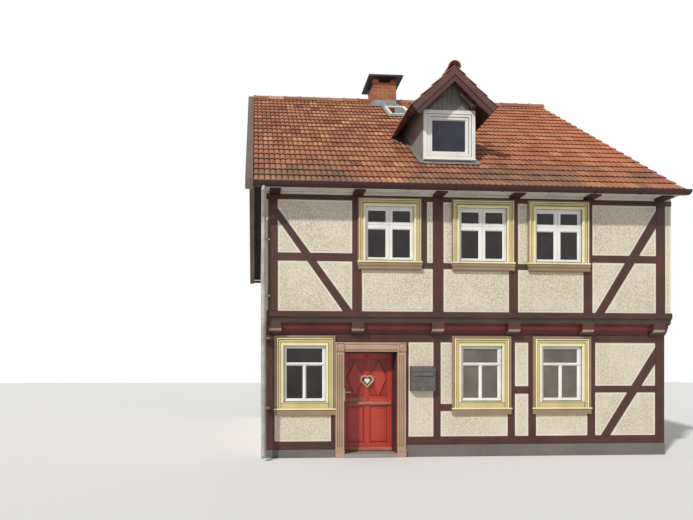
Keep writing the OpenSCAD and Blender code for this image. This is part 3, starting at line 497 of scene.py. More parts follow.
# %% Fired clay
def fired_clay(name, dark, middle, light, weathered):
    paint, tree, shader = bare(name, 0.82)
    tone = node(tree, "Attribute", attribute_name="tone").outputs["Fac"]
    place = node(tree, "TexCoord").outputs["Object"]
    stains = clouds(tree, place, 26.0, roughness=0.7)
    body = over(tree, spread(tree, tone, high=0.5), srgb(dark), middle)
    body = over(tree, spread(tree, tone, 0.5), body, light)
    body = over(tree, spread(tree, stains, 0.42, 0.72, most=0.5), body, "#7A4A38")
    if weathered:
        # Fresher orange clay from the middle of the house to its right end
        metres = node(tree, "SeparateXYZ", {0: place})
        body = over(tree, spread(tree, metres.outputs["X"], 0.2, 3.4, most=0.42), body, "#BC6A45")
        # Dark lichen in patches near the eaves, yellow lichen near the ridge
        for (foot, head), pattern, (low, high, most), code in (
                ((6.6, 5.2), clouds(tree, place, 1.1), (0.32, 0.6, 0.66), "#5D5142"),
                ((7.4, 8.7), stains, (0.4, 0.6, 0.55), "#B59A55")):
            height = spread(tree, metres.outputs["Z"], foot, head)
            lichen = node(tree, "Math", {0: height, 1: pattern}, operation="MULTIPLY").outputs[0]
            body = over(tree, spread(tree, lichen, low, high, most=most), body, code)
    # The troughs of the tiles are darkened: painted shade, together with soot and moss
    hollow = node(tree, "Attribute", attribute_name="hollow").outputs["Fac"]
    body = over(tree, spread(tree, hollow, 0.25, most=0.85), body, "#3F2A20")
    tree.links.new(body, shader.inputs["Base Color"])
    lifted(tree, shader, stains, 1.5, 0.7)
    return paint


roof_clay = fired_clay("roof_tile_clay", "#733F2A", "#A5674A", "#C69068", True)
ridge_clay = fired_clay("ridge_tile_clay", "#7E4E3B", "#A06A54", "#C09A7C", False)
brick_clay = fired_clay("brick_clay", "#864630", "#A56240", "#BC7B50", False)
print("clay finishes ready")

# %% [markdown]
# ### Metal and glass
#
# The gutter is painted sheet, the downpipe bare zinc with its dull bloom, the door
# furniture steel and iron. Window glass seen from a bright street is almost black,
# and shows only the sky that it mirrors, so the panes are a dark, clear gloss that
# lets a little of the room through. Two panes have a reflection painted into their
# colour: the blue sky in the dormer and the pale walls across the street below.

# %% Metal and glass
def sheet_metal(name, deep, pale, roughness, metallic, patch_mm=90, relief_mm=0.3):
    paint, tree, shader = bare(name, roughness, {"Metallic": metallic})
    bloom = clouds(tree, node(tree, "TexCoord").outputs["Object"], 1000 / patch_mm)
    two_tone(tree, shader, bloom, deep, pale, 0.35, 0.65, relief_mm, 0.4)
    gloss = spread(tree, bloom, least=roughness - 0.1, most=roughness + 0.15)
    tree.links.new(gloss, shader.inputs["Roughness"])
    return paint


gutter_red = sheet_metal("gutter_red_brown_paint", "#2C0F0A", "#3E1812", 0.5, 0.0)
zinc = sheet_metal("zinc_weathered", "#8F8E8A", "#ABAAA6", 0.5, 0.3, 240, 0.05)
iron_black = sheet_metal("iron_forged", "#1F1F21", "#353537", 0.6, 0.7, 12, 0.6)
steel_satin = sheet_metal("steel_satin", "#B8B8B4", "#D2D2CF", 0.3, 0.9, 20, 0.1)
brass_dull = sheet_metal("brass_dulled", "#5E4433", "#8C6A4A", 0.38, 0.8, 15, 0.1)
box_grey = sheet_metal("mailbox_grey_enamel", "#54524F", "#63605C", 0.4, 0.1, 90, 0.1)
lead_flashing = sheet_metal("flashing_lead", "#7B7D7F", "#9C9E9F", 0.5, 0.4, 70, 0.8)


def drawn_glass(name, deep, pale, alpha):
    """Old drawn glass, whose slow waves bend what it mirrors."""
    paint, tree, shader = bare(name, 0.05, {"IOR": 1.5, "Alpha": alpha})
    waves = clouds(tree, node(tree, "TexCoord").outputs["Object"], 3.0, 1.0)
    two_tone(tree, shader, waves, deep, pale, 0.3, 0.7, 2.0, 0.25)
    return paint


window_glass = drawn_glass("window_glass_dark", "#1D1A19", "#2D2927", 0.8)
# These two glasses carry a painted reflection: the pale street walls, and the blue sky
painted_street_reflection_glass = drawn_glass("window_glass_painted_street_reflection", "#5E584E", "#736C60", 0.9)
painted_sky_reflection_glass = drawn_glass("window_glass_painted_sky_reflection", "#1C1D2B", "#2C2E42", 0.85)
straw = painted_wood("wreath_straw", "#8A7355", "#CDB893", 0.75, 3, 0.8)
heart_white = painted_wood("heart_white_paint", "#DDD8CE", "#F1EDE6", 0.5, 3, 0.2)
print("metal and glass ready")

# %% [markdown]
# ## The timber frame
#
# A carpenter hews each post, rail and brace from one tree, so no edge is dead
# straight. Each timber is sawn from its outline, cut across every 400 mm, and its
# corners are then moved by up to 2 mm. The edges are eased, the grain runs along
# each timber, and all timbers of a wall are joined into one piece.

# %% Timbers
# How far apart a timber is cut across, and how far its corners are moved
CUT_EVERY, HEWN_OFF = 400, 2


def timber(points, depth, seed, way=None):
    """One hewn timber: an outline in the wall's face, through the wall's thickness."""
    piece = cut_out("timber", points, depth)
    xs, zs = [p[0] for p in points], [p[1] for p in points]
    if way is None:
        way = (1, 0, 0) if max(xs) - min(xs) > max(zs) - min(zs) else (0, 0, 1)
    length = Vector((max(xs) - min(xs), 0, max(zs) - min(zs))).length
    middle = sum((v.co for v in piece.data.vertices), Vector()) / len(piece.data.vertices)
    cuts = max(1, round(length / CUT_EVERY))
    opened(piece)
    for i in range(1, cuts):
        bpy.ops.mesh.select_all(action="SELECT")
        spot = middle + Vector(way).normalized() * (i / cuts - 0.5) * length / 1000
        bpy.ops.mesh.bisect(plane_co=spot, plane_no=way)
    bpy.ops.mesh.select_all(action="SELECT")
    bpy.ops.transform.vertex_random(offset=HEWN_OFF / 1000, seed=seed)
    bpy.ops.object.mode_set(mode="OBJECT")
    return grained(piece, way, seed)


def upright(x, z, depth, seed):
    """A timber that is a plain rectangle in the wall's face."""
    return timber([(x[0], z[0]), (x[1], z[0]), (x[1], z[1]), (x[0], z[1])], depth, seed)


def brace(points, depth, seed):
    """A slanting timber; its grain runs from the middle of its foot to that of its head."""
    foot = (Vector(points[1]) + Vector(points[2])) / 2
    head = (Vector(points[0]) + Vector(points[3])) / 2
    return timber(points, depth, seed, (head[0] - foot[0], 0, head[1] - foot[1]))


print("timbers can be hewn")

# %% [markdown]
# Oak pegs lock the joints, two at the head and the foot of each post and one at each
# end of a rail. Each is a little longer than its hole and stands 5 mm out of the face.
# Posts and rails are a table, read from the picture, and become timbers in one loop.

# %% Ground floor frame
def peg_row(spots, face):
    """Oak pegs, 24 mm thick, standing 5 mm out of the face at (f, z) spots."""
    bpy.ops.mesh.primitive_cylinder_add(vertices=10, radius=0.012, depth=0.03,
                                        rotation=(math.radians(90), 0, 0))
    peg = grained(eased(settled("peg"), 3, 1), (0, 1, 0))
    pegs = [moved(peg, f - HOUSE_W / 2, face - HOUSE_D / 2 + 10, z) for f, z in spots]
    bpy.data.objects.remove(peg)
    return pegs


def walled(name, pieces, pegs, face=0):
    """Eases the timbers of one wall and joins them with a peg at each (f, z) spot."""
    pegs = peg_row(pegs, face)
    timbers = eased(joined(name, pieces), 7)
    return joined(name, [timbers] + pegs)


# Posts are (left, right, foot), rails (left, right, low, high)
ground_posts = [(0, 153, 295), (1183, 1323, 295), (2479, 2619, 368), (3092, 3223, 368), (4503, 4635, 368),
                (4898, 5040, 368), (6043, 6189, 368), (7374, HOUSE_W, 368)]
ground_rails = [(3223, 4503, 841, 969), (4635, 4898, 1159, 1295), (5040, 6043, 841, 969),
                (6189, 7374, 1179, 1301), (153, 1183, 800, 900)]
ground_depth = (0, 160)
pieces = [upright((a, b), (z, GROUND_PLATE), ground_depth, 10 + i)
          for i, (a, b, z) in enumerate(ground_posts)]
pieces += [upright((a, b), (c, d), ground_depth, 20 + i) for i, (a, b, c, d) in enumerate(ground_rails)]
pieces += [upright((0, 1323), (145, 295), ground_depth, 30),
           upright((2479, HOUSE_W), (218, 368), ground_depth, 31)]
pieces.append(brace([(7374, 2026), (6305, 368), (6475, 368), (7374, 1725)], (1, 159), 32))
pegs = [((a + b) / 2 + s * 28, GROUND_PLATE - 60) for a, b, z in ground_posts for s in (-1, 1)]
pegs += [((a + b) / 2 + s * 28, z + 55) for a, b, z in ground_posts for s in (-1, 1)]
pegs += [(f, (c + d) / 2) for a, b, c, d in ground_rails for f in (a - 45, b + 45)]
ground_frame = walled("ground_frame_timbers", pieces, pegs)
placed(ground_frame, [oak_brown], ["ground_frame"])
print("ground floor frame:", len(pieces), "timbers,", len(ground_frame.data.polygons), "faces")

# %% [markdown]
# The upper frame stands on the sill of the jetty, 160 mm before the wall below. Its
# rails lie lower under the windows than in the end bays, where a long brace keeps
# the frame from leaning.

# %% Upper floor frame
upper_posts = [(35, 202), (1545, 1718), (3022, 3215), (4444, 4608), (5860, 6023), (7258, 7430)]
upper_rails = [(202, 1545, 3554, 3695), (1718, 3022, 3435, 3540), (3215, 4444, 3435, 3540),
               (4608, 5860, 3435, 3540), (6023, 7258, 3584, 3716)]
upper_depth = (JETTY, 0)
pieces = [upright(p, (UPPER_Z, UPPER_PLATE), upper_depth, 40 + i) for i, p in enumerate(upper_posts)]
pieces += [upright((a, b), (c, d), (JETTY + 1, -1), 50 + i) for i, (a, b, c, d) in enumerate(upper_rails)]
pieces.append(upright((0, HOUSE_W), (UPPER_PLATE, UPPER_PLATE + 94), upper_depth, 60))
pieces.append(upright((2816, 2912), (3540, UPPER_PLATE), (JETTY + 1, -1), 63))
pieces.append(brace([(202, 4286), (1377, UPPER_Z), (1560, UPPER_Z), (202, 4487)], (JETTY + 2, -2), 61))
pieces.append(brace([(7258, 4560), (6085, UPPER_Z), (6255, UPPER_Z), (7258, 4255)], (JETTY + 2, -2), 62))
pegs = [((a + b) / 2 + s * 30, z) for a, b in upper_posts for s in (-1, 1) for z in (2710, 4590)]
pegs += [(f, (c + d) / 2) for a, b, c, d in upper_rails for f in (a - 45, b + 45)]
upper_frame = walled("upper_frame_timbers", pieces, pegs, JETTY)
placed(upper_frame, [oak_brown], ["upper_frame"])
print("upper floor frame:", len(pieces), "timbers,", len(upper_frame.data.polygons), "faces")

# %% [markdown]
# The rear wall has no picture to follow. It is framed plainly in the same timber,
# built as if it were a front and then turned half round the middle of the house.

# %% Rear frame
rear_posts = [(0, 176), (2441.7, 2591.7), (4958.3, 5108.3), (7374, HOUSE_W)]
pieces = []
for n, (low, high) in enumerate([(368, GROUND_PLATE), (UPPER_Z, UPPER_PLATE)]):
    pieces += [upright(p, (low, high), ground_depth, 70 + 10 * n + i) for i, p in enumerate(rear_posts)]
    rail_z = [(841, 969), (3435, 3540)][n]
    for i, (a, b) in enumerate(zip(rear_posts[:-1], rear_posts[1:])):
        pieces.append(upright((a[1], b[0]), rail_z, (1, 159), 90 + 5 * n + i))
for i, z in enumerate([(218, 368), (GROUND_PLATE, 2248), (SILL_Z, UPPER_Z), (UPPER_PLATE, UPPER_PLATE + 94)]):
    pieces.append(upright((0, HOUSE_W), z, ground_depth, 100 + i))
pegs = [((a + b) / 2 + s * 28, z) for a, b in rear_posts for s in (-1, 1) for z in (425, 2055, 2710, 4590)]
rear_front = walled("rear_frame_timbers", pieces, pegs)
rear_frame = moved(rear_front, 0, 0, 0, turned=True)
bpy.data.objects.remove(rear_front)
rear_frame.name = "rear_frame_timbers"
placed(rear_frame, [oak_brown], ["rear_frame"])
print("rear frame:", len(rear_frame.data.polygons), "faces")

# %% [markdown]
# ## The panels
#
# Between the timbers the wall is brick nogging under plaster. The plasterer first
# floats a smooth margin of about 36 mm along the timbers and then throws roughcast
# on the field inside it. `choose` selects the front faces of the solid panels by
# where they are and which way they look. An inset of them gives the margin, and a
# second small inset lifts the field by 4 mm.

# %% Panels
# The width of the smooth margin, and how far the field stands over it, in metres
MARGIN, FIELD_LIFT = 0.036, 0.004


def choose(piece, test):
    """Goes to edit mode with the faces selected whose centre and normal pass."""
    only(piece)
    flags = [bool(test(p.center, p.normal)) for p in piece.data.polygons]
    bpy.ops.object.mode_set(mode="EDIT")
    bpy.ops.mesh.select_mode(type="FACE")
    bpy.ops.mesh.select_all(action="DESELECT")
    bpy.ops.object.mode_set(mode="OBJECT")
    piece.data.polygons.foreach_set("select", flags)
    bpy.ops.object.mode_set(mode="EDIT")
    return sum(flags)


def from_solid(name, whole=True):
    """A copy of a solid's mesh, its loose triangles merged, and joined into whole faces if asked."""
    piece = linked(name + "_dressed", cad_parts[name].data.copy())
    piece.data.materials.clear()
    opened(piece)
    bpy.ops.mesh.remove_doubles(threshold=0.00005)
    if whole:
        bpy.ops.mesh.dissolve_limited(angle_limit=math.radians(1))
    bpy.ops.object.mode_set(mode="OBJECT")
    return piece


def plastered(name, outward):
    """The panels of a wall, with a smooth margin and a raised field of roughcast."""
    piece = from_solid(name, whole=False)
    faces = [p for p in piece.data.polygons if p.normal.y * outward > 0.9]
    front = max(p.center.y * outward for p in faces)
    for p in (smooth_margin, roughcast, wall_render):
        piece.data.materials.append(p)
    for p in piece.data.polygons:
        p.material_index = 2
    # The strip beside the first post is too narrow for a margin
    last = HOUSE_W / 2000 - 0.04
    count = choose(piece, lambda c, n: (n.y * outward > 0.9 and c.y * outward > front - 0.002
                                        and abs(c.x) < last))
    for paint, thickness, depth in ((0, MARGIN, 0), (1, FIELD_LIFT, FIELD_LIFT)):
        piece.active_material_index = paint
        bpy.ops.object.material_slot_assign()
        bpy.ops.mesh.inset(thickness=thickness, depth=depth)
    bpy.ops.object.mode_set(mode="OBJECT")
    placed(piece, [], [name], smooth=0)
    print(name, "has", count, "panel faces")


for name, outward in (("ground_infill", -1), ("upper_infill", -1), ("rear_infill", 1)):
    plastered(name, outward)

# %% [markdown]
# ## Windows
#
# A joiner mitres a moulded casing from planed strips: a tan fillet outside, a round
# cream bead, a straw yellow band and a cream inner strip. In the mesh, one face is
# inset again and again, and each inset is set to the next line of the moulding, so
# every corner is a true mitre. The two open edges are then drawn back to the wall
# and bridged, which closes the frame.

# %% Moulded frames
def moulded_frame(name, lines, back, paints):
    """A frame from nested rectangles (x0, x1, z0, z1, y, paint), outside to inside, in millimetres."""
    bpy.ops.mesh.primitive_plane_add(size=0.1, rotation=(math.radians(90), 0, 0))
    piece = settled(name)
    for p in paints:
        piece.data.materials.append(p)
    opened(piece)
    bpy.ops.mesh.select_mode(type="FACE")
    for i, (x0, x1, z0, z1, y, paint) in enumerate(lines):
        if i:
            bpy.ops.mesh.inset(thickness=0.0004, depth=0)
        shape = bmesh.from_edit_mesh(piece.data)
        face = [f for f in shape.faces if f.select][0]
        middle = face.calc_center_median()
        for v in face.verts:
            v.co = Vector((x0 if v.co.x < middle.x else x1, y, z0 if v.co.z < middle.z else z1)) / 1000
        face.material_index = paint
        face.normal_update()
        bmesh.update_edit_mesh(piece.data)
    bpy.ops.mesh.delete(type="FACE")
    bpy.ops.mesh.select_mode(type="EDGE")
    bpy.ops.mesh.select_all(action="DESELECT")
    bpy.ops.mesh.select_non_manifold()
    bpy.ops.mesh.extrude_edges_move(TRANSFORM_OT_translate={"value": (0, 0.001, 0)})
    shape = bmesh.from_edit_mesh(piece.data)
    for v in shape.verts:
        if v.select:
            v.co.y = back / 1000
    bmesh.update_edit_mesh(piece.data)
    bpy.ops.mesh.bridge_edge_loops()
    return closed(piece)


print("frames can be moulded")

# %% [markdown]
# The casings of the two storeys differ in their profiles and in their sills, which
# are planed strips under the frame. Each profile is a list of steps from the outer
# edge inwards: how far in, how far out of the wall, and in which paint.

# %% Casings
def sawn_off(piece, z):
    """Takes away what is under z millimetres and closes the cut."""
    opened(piece)
    bpy.ops.mesh.bisect(plane_co=(0, 0, z / 1000), plane_no=(0, 0, 1), use_fill=True,
                        clear_inner=True)
    bpy.ops.object.mode_set(mode="OBJECT")
    return piece


def local(piece):
    """Shifts a piece made in facade millimetres to the frame that the window units use."""
    piece.data.transform(Matrix.Translation((HOUSE_W / 2000, HOUSE_D / 2000, 0)))
    return piece


def inset(box, by, y, paint=0):
    """A line of a frame, drawn inside a box (x0, x1, z0, z1)."""
    x0, x1, z0, z1 = box
    return (x0 + by, x1 - by, z0 + by, z1 - by, y, paint)


def strips(half, z, foot, profile, inner):
    """Lines of a casing: (inset, y, paint) steps from its outer edge, then the sash opening."""
    wide, low, high = inner
    lines = [inset((-half, half, z[0] - 200, z[1]), *step) for step in profile]
    return lines + [(-wide - out, wide + out, z0, high + out, y, 1) for out, z0, y in (
        (40, foot, -20), (39, foot + 1, -33), (35, foot + 4, -36), (6, low - 5, -36), (0, low, -30),
        (0, low, 18))]


# The fourth casing paint is painted shade in the grooves of the moulding
casing_paints = [casing_tan, casing_cream, casing_yellow, groove_shade]
ground_steps = [(0, -26, 0), (2, -30, 0), (40, -30, 3), (43, -20, 3), (48, -22, 1), (50, -37, 1),
                (54, -43, 1), (59, -45, 1), (64, -43, 1), (68, -37, 1), (70, -22, 3), (77, -19, 2),
                (80, -23, 2), (116, -23, 3), (124, -16, 2)]
upper_steps = [(0, -26, 0), (2, -30, 0), (17, -30, 3), (20, -20, 3), (23, -24, 1), (26, -39, 1),
               (31, -45, 1), (37, -43, 1), (41, -30, 3), (46, -18, 2), (49, -23, 2), (86, -23, 3),
               (94, -16, 2)]


def casing(name, half, z, profile, inner, foot, sill_parts):
    """A mitred casing with a round bead at its foot and the planed parts of its sill."""
    lines = strips(half, z, foot, profile, inner)
    frame_part = sawn_off(moulded_frame(name, lines, 1, casing_paints), z[0] + 26)
    round_bead = [(0, 0), (-46, 0), (-51, 5), (-52, 14), (-50, 23), (-44, 28), (0, 28)]
    bead = local(cut_out(name, [(y, z[0] + dz) for y, dz in round_bead], (-half - 6, half + 6), "X"))
    parts = [bead]
    for points, reach in sill_parts:
        part = local(cut_out(name, [(y, z[0] + dz) for y, dz in points], (-half - reach, half + reach), "X"))
        eased(part, 3, angle=40)
        part.data.materials.append(casing_tan)
        parts.append(part)
    bead.data.materials.append(casing_cream)
    return grained(joined(name, [frame_part] + parts), (1, 0, 0))


apron = [(0, -95), (-34, -95), (-34, -12), (-24, -2), (0, -2)]
ledge = [(0, -60), (-48, -58), (-48, -16), (-30, -3), (0, -3)]
cornice = [(0, -130), (-42, -130), (-54, -118), (-56, -82), (-40, -72), (-40, -60), (0, -60)]
ground_casing = casing("casing_ground", 558, (870, 2224), ground_steps, (390, 1010, 2040), 1002,
                       [(apron, 3)])
upper_casing = casing("casing_upper", 582, (3530, 4697), upper_steps, (445, 3565, 4550), 3557,
                      [(ledge, 4), (cornice, -6)])
print("casings", len(ground_casing.data.polygons), "and", len(upper_casing.data.polygons), "faces")

# %% [markdown]
# A sash is a fixed frame with casements in it. Each casement has its own stiles and
# rails, an eased outer edge and a slanting bed of putty round the pane. The gaps
# between them stay open, because those thin dark lines are what makes a window look
# like joinery. The ground floor has one wide light over two casements, and the upper
# floor has double casements above and below.

# %% Sashes
def casement(outer, opening):
    """One casement: its outer rectangle and its opening, (x0, x1, z0, z1) in millimetres."""
    lines = [inset(outer, 0, 26), inset(outer, 3, 22), inset(opening, -13, 22),
             inset(opening, -11, 26), inset(opening, 0, 38), inset(opening, 0, 45)]
    return moulded_frame("casement", lines, 67, [sash_white])


def fixed_frame(half, low, high, side, head, foot):
    """The frame that casements shut against, with the widths of its sides, head and foot."""
    outer, opening = (-half, half, low, high), (-half + side, half - side, low + foot, high - head)
    lines = [inset(outer, 0, 22), inset(outer, 2, 20), inset(opening, -2, 20),
             inset(opening, 0, 22), inset(opening, 0, 50), inset(opening, 8, 50)]
    return moulded_frame("fixed_frame", lines, 70, [sash_white])


def block(name, x, y, z):
    """A cube primitive between facade millimetres."""
    low, high = at(x[0], y[0], z[0]), at(x[1], y[1], z[1])
    bpy.ops.mesh.primitive_cube_add(size=1, location=(low + high) / 2, scale=high - low)
    return settled(name)


def bar(x, y, z):
    """A planed strip across a window."""
    part = eased(local(block("bar", x, y, z)), 4)
    part.data.materials.append(sash_white)
    return part


def sash(name, parts, half, foot):
    """Joins the parts of a window with the long drip board at its foot."""
    drip = local(cut_out("drip", [(y, foot + dz) for y, dz in drip_board], (-half, half), "X"))
    drip.data.materials.append(sash_white)
    return grained(joined(name, [joined(name, parts), drip]), (0, 0, 1))


drip_board = [(20, 0), (4, 0), (-2, 5), (4, 14), (24, 28)]
ground_sash = sash("sash_ground", [
    fixed_frame(390, 1010, 2040, 17, 14, 16),
    casement((-370, 370, 1709, 2023), (-326, 326, 1734, 1990)),
    casement((-370, -2, 1030, 1697), (-326, -33, 1078, 1674)),
    casement((2, 370, 1030, 1697), (33, 326, 1078, 1674)),
    bar((-372, 372), (8, 60), (1695, 1712)),
    bar((-11, 11), (12, 60), (1040, 1694))], 368, 1028)
upper_sash = sash("sash_upper", [
    fixed_frame(445, 3565, 4550, 18, 24, 20),
    casement((-425, -4, 4221, 4524), (-385, -65, 4280, 4480)),
    casement((4, 425, 4221, 4524), (65, 385, 4280, 4480)),
    casement((-425, -4, 3587, 4200), (-385, -65, 3635, 4140)),
    casement((4, 425, 3587, 4200), (65, 385, 3635, 4140)),
    bar((-427, 427), (30, 66), (4196, 4225)),
    bar((-12, 12), (36, 66), (3590, 4522))], 420, 3585)
print("sashes", len(ground_sash.data.polygons), "and", len(upper_sash.data.polygons), "faces")

# %% [markdown]
# One unit of each kind is copied to every window of its storey, at the front and at
# the rear. The panes behind them differ only in the reflection painted into their colour.

# %% Twelve windows
ground_at, upper_at = (703, 3995, 5533), (2225, 3948, 5370)
rear_at = [HOUSE_W * k / 6 for k in (1, 3, 5)]
casings, sashes = [], []
for units, ground, upper in ((casings, ground_casing, upper_casing), (sashes, ground_sash, upper_sash)):
    for unit, spots, y, rear in ((ground, ground_at, 0, False), (upper, upper_at, JETTY, False),
                                 (ground, rear_at, 0, True), (upper, rear_at, 0, True)):
        units += [moved(unit, c - HOUSE_W / 2, y - HOUSE_D / 2, 0, rear) for c in spots]
    bpy.data.objects.remove(ground)
    bpy.data.objects.remove(upper)
placed(joined("window_casing_joinery", casings), [], ["window_casings"])
placed(joined("window_sash_joinery", sashes), [], ["window_sashes"])
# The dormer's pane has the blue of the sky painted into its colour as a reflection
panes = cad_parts["dormer_glass"]
panes.data.materials.clear()
panes.data.materials.append(painted_sky_reflection_glass)
# The two ground floor windows right of the door have the pale walls across the street painted into their
# colour as a reflection
placed(from_solid("window_glass"), [window_glass, painted_street_reflection_glass], ["window_glass"], smooth=0,
       pick=lambda c, n: 1 if c.y < -3.5 and c.z < 2.2 and c.x > -0.5 else 0)
print(len(casings), "casings and", len(sashes), "sashes")

# %% [markdown]
# ## The jetty
#
# The upper floor stands out 160 mm on six beams. A moulder has planed the whole
# edge: the sill over the beams has a flat lit face and a hollow under it, each beam
# end has a flat face, a pale roll and a hollow under that, and the boards between the
# beams slope back to the wall plate. The hollows, the grooves and the lower board are
# painted darker as shade. The solids already have these profiles, so they
# are copied, their edges are eased, and each part of a profile gets its own finish.

# %% Sill, beams and boards
def dressed(name, paints, ease, way=(1, 0, 0), pick=None, segments=2, body="house"):
    """A solid's own form with eased edges, grain and paint, standing for that solid."""
    piece = grained(eased(from_solid(name), ease, segments), way)
    return placed(piece, paints, [name], body=body, pick=pick)


profile = [(0, SILL_Z), (-148, SILL_Z)]
profile += [(-148 - 14 * math.sin(a) ** 3, SILL_Z + 78 * math.sin(a))
            for a in np.linspace(0.12, math.pi / 2, 8)]
profile += [(-172, 2541), (-182, 2550), (-182, 2640), (-173, UPPER_Z), (0, UPPER_Z)]
sill = cut_out("upper_sill_beam", profile, (0, HOUSE_W), "X")
grained(eased(sill, 3, angle=50), (1, 0, 0))
# The hollow under the sill's face is painted shade in olive, and its underside in the groove paint
placed(sill, [oak_brown, hollow_shade_olive, groove_shade], ["upper_sill"],
       pick=lambda c, n: 0 if mm(c)[2] > 2544 or mm(c)[1] > -140 else (1 if mm(c)[2] > 2466 else 2))


def beam_finish(c, n):
    """The end of a floor beam: a flat grey foot, a pale roll, and a hollow under it painted dark as shade."""
    y, z = mm(c)[1:]
    if y > -45 or abs(n.x) > 0.9:
        return 0
    if z > 2347:
        return 1
    return 2 if z > 2296 and y < -85 else 3


dressed("floor_beams", [oak_brown, oak_grey, oak_pale, hollow_shade_olive], 4, (0, 1, 0), beam_finish)


def board_finish(c, n):
    """A fill between two beams: an upper fillet over a groove, and two boards with a groove; the grooves and
    the lower board are painted shade.
    """
    z = mm(c)[2]
    if z > 2428:
        return 0
    if z > 2412 or (2318 < z < 2334 and n.z < 0.3):
        return 3
    return 1 if z > 2326 else 2


# The grooves and the lower board get painted shade
board_paints = [oak_grey, board_red, board_red_shaded, groove_shade]
dressed("fill_timbers", board_paints, 2.5, pick=board_finish)
plate = eased(upright((0, HOUSE_W), (GROUND_PLATE, 2248), ground_depth, 120), 6)
placed(plate, [oak_brown], ["lower_plate"])
dressed("attic_beams", [oak_brown], 6, (0, 1, 0))
dressed("eaves_boards", [eaves_white], 3)
print("jetty built")

# %% [markdown]
# The plinth is painted render over stone, the gable walls are rendered brick, and the
# roof stands on sawn rafters. Their plain forms are right as they are, so only their
# edges are eased.

# %% Walls and rafters
dressed("plinth", [plinth_stone], 8, segments=3)
dressed("ground_floor", [step_stone], 3)
for name in ("left_party_wall", "right_party_wall"):
    dressed(name, [wall_render], 5)
for name in ("front_rafters", "rear_rafters"):
    dressed(name, [spruce], 4, (0, math.cos(PITCH), math.sin(PITCH)))
print("walls and rafters dressed")

# %% [markdown]
# The floors behind the windows are boards of 150 mm, planed and laid with open
# joints. An Array modifier repeats one board, and a shaft as wide as the chimney is
# cut out of the whole floor, as a joiner cuts the boards to fit round it.

# %% Floors
# The chimney stack, which comes through both floors
STACK_X, STACK_Y = (2870, 3480), (3800, 4400)


def grown(span, by):
    """A span made longer at both ends."""
    return (span[0] - by, span[1] + by)


def without(piece, cutter):
    """Cuts one closed piece out of another."""
    return modified(piece, "BOOLEAN", object=cutter, operation="DIFFERENCE", solver="MANIFOLD")


def boarded(name):
    """A floor of boards with open joints, cut round the chimney."""
    low, high = (mm(p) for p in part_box(name))
    count, joint = 55, 3
    width = (high[1] - low[1]) / count
    board = block(name + "_boards", (low[0], high[0]), (low[1], low[1] + width - joint), (low[2], high[2]))
    grained(eased(board, 2, 1), (1, 0, 0))
    modified(board, "ARRAY", count=count, use_relative_offset=False, use_constant_offset=True,
             constant_offset_displace=(0, width / 1000, 0))
    shaft = block("shaft", grown(STACK_X, 1), grown(STACK_Y, 1), (0, 9000))
    without(board, shaft)
    bpy.data.objects.remove(shaft)
    placed(board, [spruce], [name])


boarded("upper_floor")
boarded("attic_floor")
print("floors laid")

# %% [markdown]
# ## The slope
#
# A tiler measures along the eaves, up the rafters and out from them. `on_slope` turns
# such a measure into a point of the model, so that tiles, lead and the roof window
# can be written down as they are laid. The crests of the tiles lie 60 mm over the
# rafters at the foot of a course and 22 mm lower at its head, under the next one.

# %% The slope
# The top edge of the lowest tiles, then how thick, how stepped and how many the courses are
EAVE_Y, EAVE_Z = -500, 4860
TILE_T, COURSE_STEP, COURSES = 60, 22, 21
# The ridge, the underside of the tiles at the eaves, and the slope between them
RIDGE_Y = (JETTY + HOUSE_D) / 2
UNDER_Y, UNDER_Z = EAVE_Y + TILE_T * math.sin(PITCH), EAVE_Z - TILE_T * math.cos(PITCH)
SLOPE_LEN = (RIDGE_Y - UNDER_Y) / math.cos(PITCH)
RIDGE_Z = EAVE_Z + (RIDGE_Y - EAVE_Y) * math.tan(PITCH)
up_slope = Vector((0, math.cos(PITCH), math.sin(PITCH)))
off_slope = Vector((0, -math.sin(PITCH), math.cos(PITCH)))


def on_slope(f, s, n):
    """A point of the front slope: s up from the eaves, n over the rafters."""
    return at(f, UNDER_Y + s * math.cos(PITCH) - n * math.sin(PITCH),
              UNDER_Z + s * math.sin(PITCH) + n * math.cos(PITCH))


def up_to(y):
    """How far up the slope a place y millimetres behind the face is."""
    return (y - UNDER_Y) / math.cos(PITCH)


print("slope", round(SLOPE_LEN), "mm, ridge", round(RIDGE_Z), "mm")

# %% [markdown]
# ## The roof tiles
#
# The roof is laid with double trough tiles: each has two round crests with narrow
# troughs between, about 205 mm wide and laid 287 mm up the slope, crest over crest.
# One tile is shaped from a grid: its points are lifted into the two waves, and it is
# extruded down by 9 mm. How deep a point lies in its trough is kept in an attribute
# named hollow, where the clay paints shade into the troughs, together with soot and moss.

# %% One tile
TILES_LEFT = -230
TILES_ACROSS = 38
TILE_W = (HOUSE_W - TILES_LEFT) / TILES_ACROSS
GAUGE = (SLOPE_LEN + (TILE_T - COURSE_STEP) * math.tan(PITCH)) / COURSES
# The height of a wave and the thickness of the clay
WAVE_H, CLAY_T = 24, 9


def wave(u):
    """Height over the trough, from 0 to 1, at u across a tile that has two crests."""
    t = (u / (TILE_W / 2)) % 1.0 * 2 - 1
    return max(0.0, 1 - abs(t) ** 3.2) ** 0.8


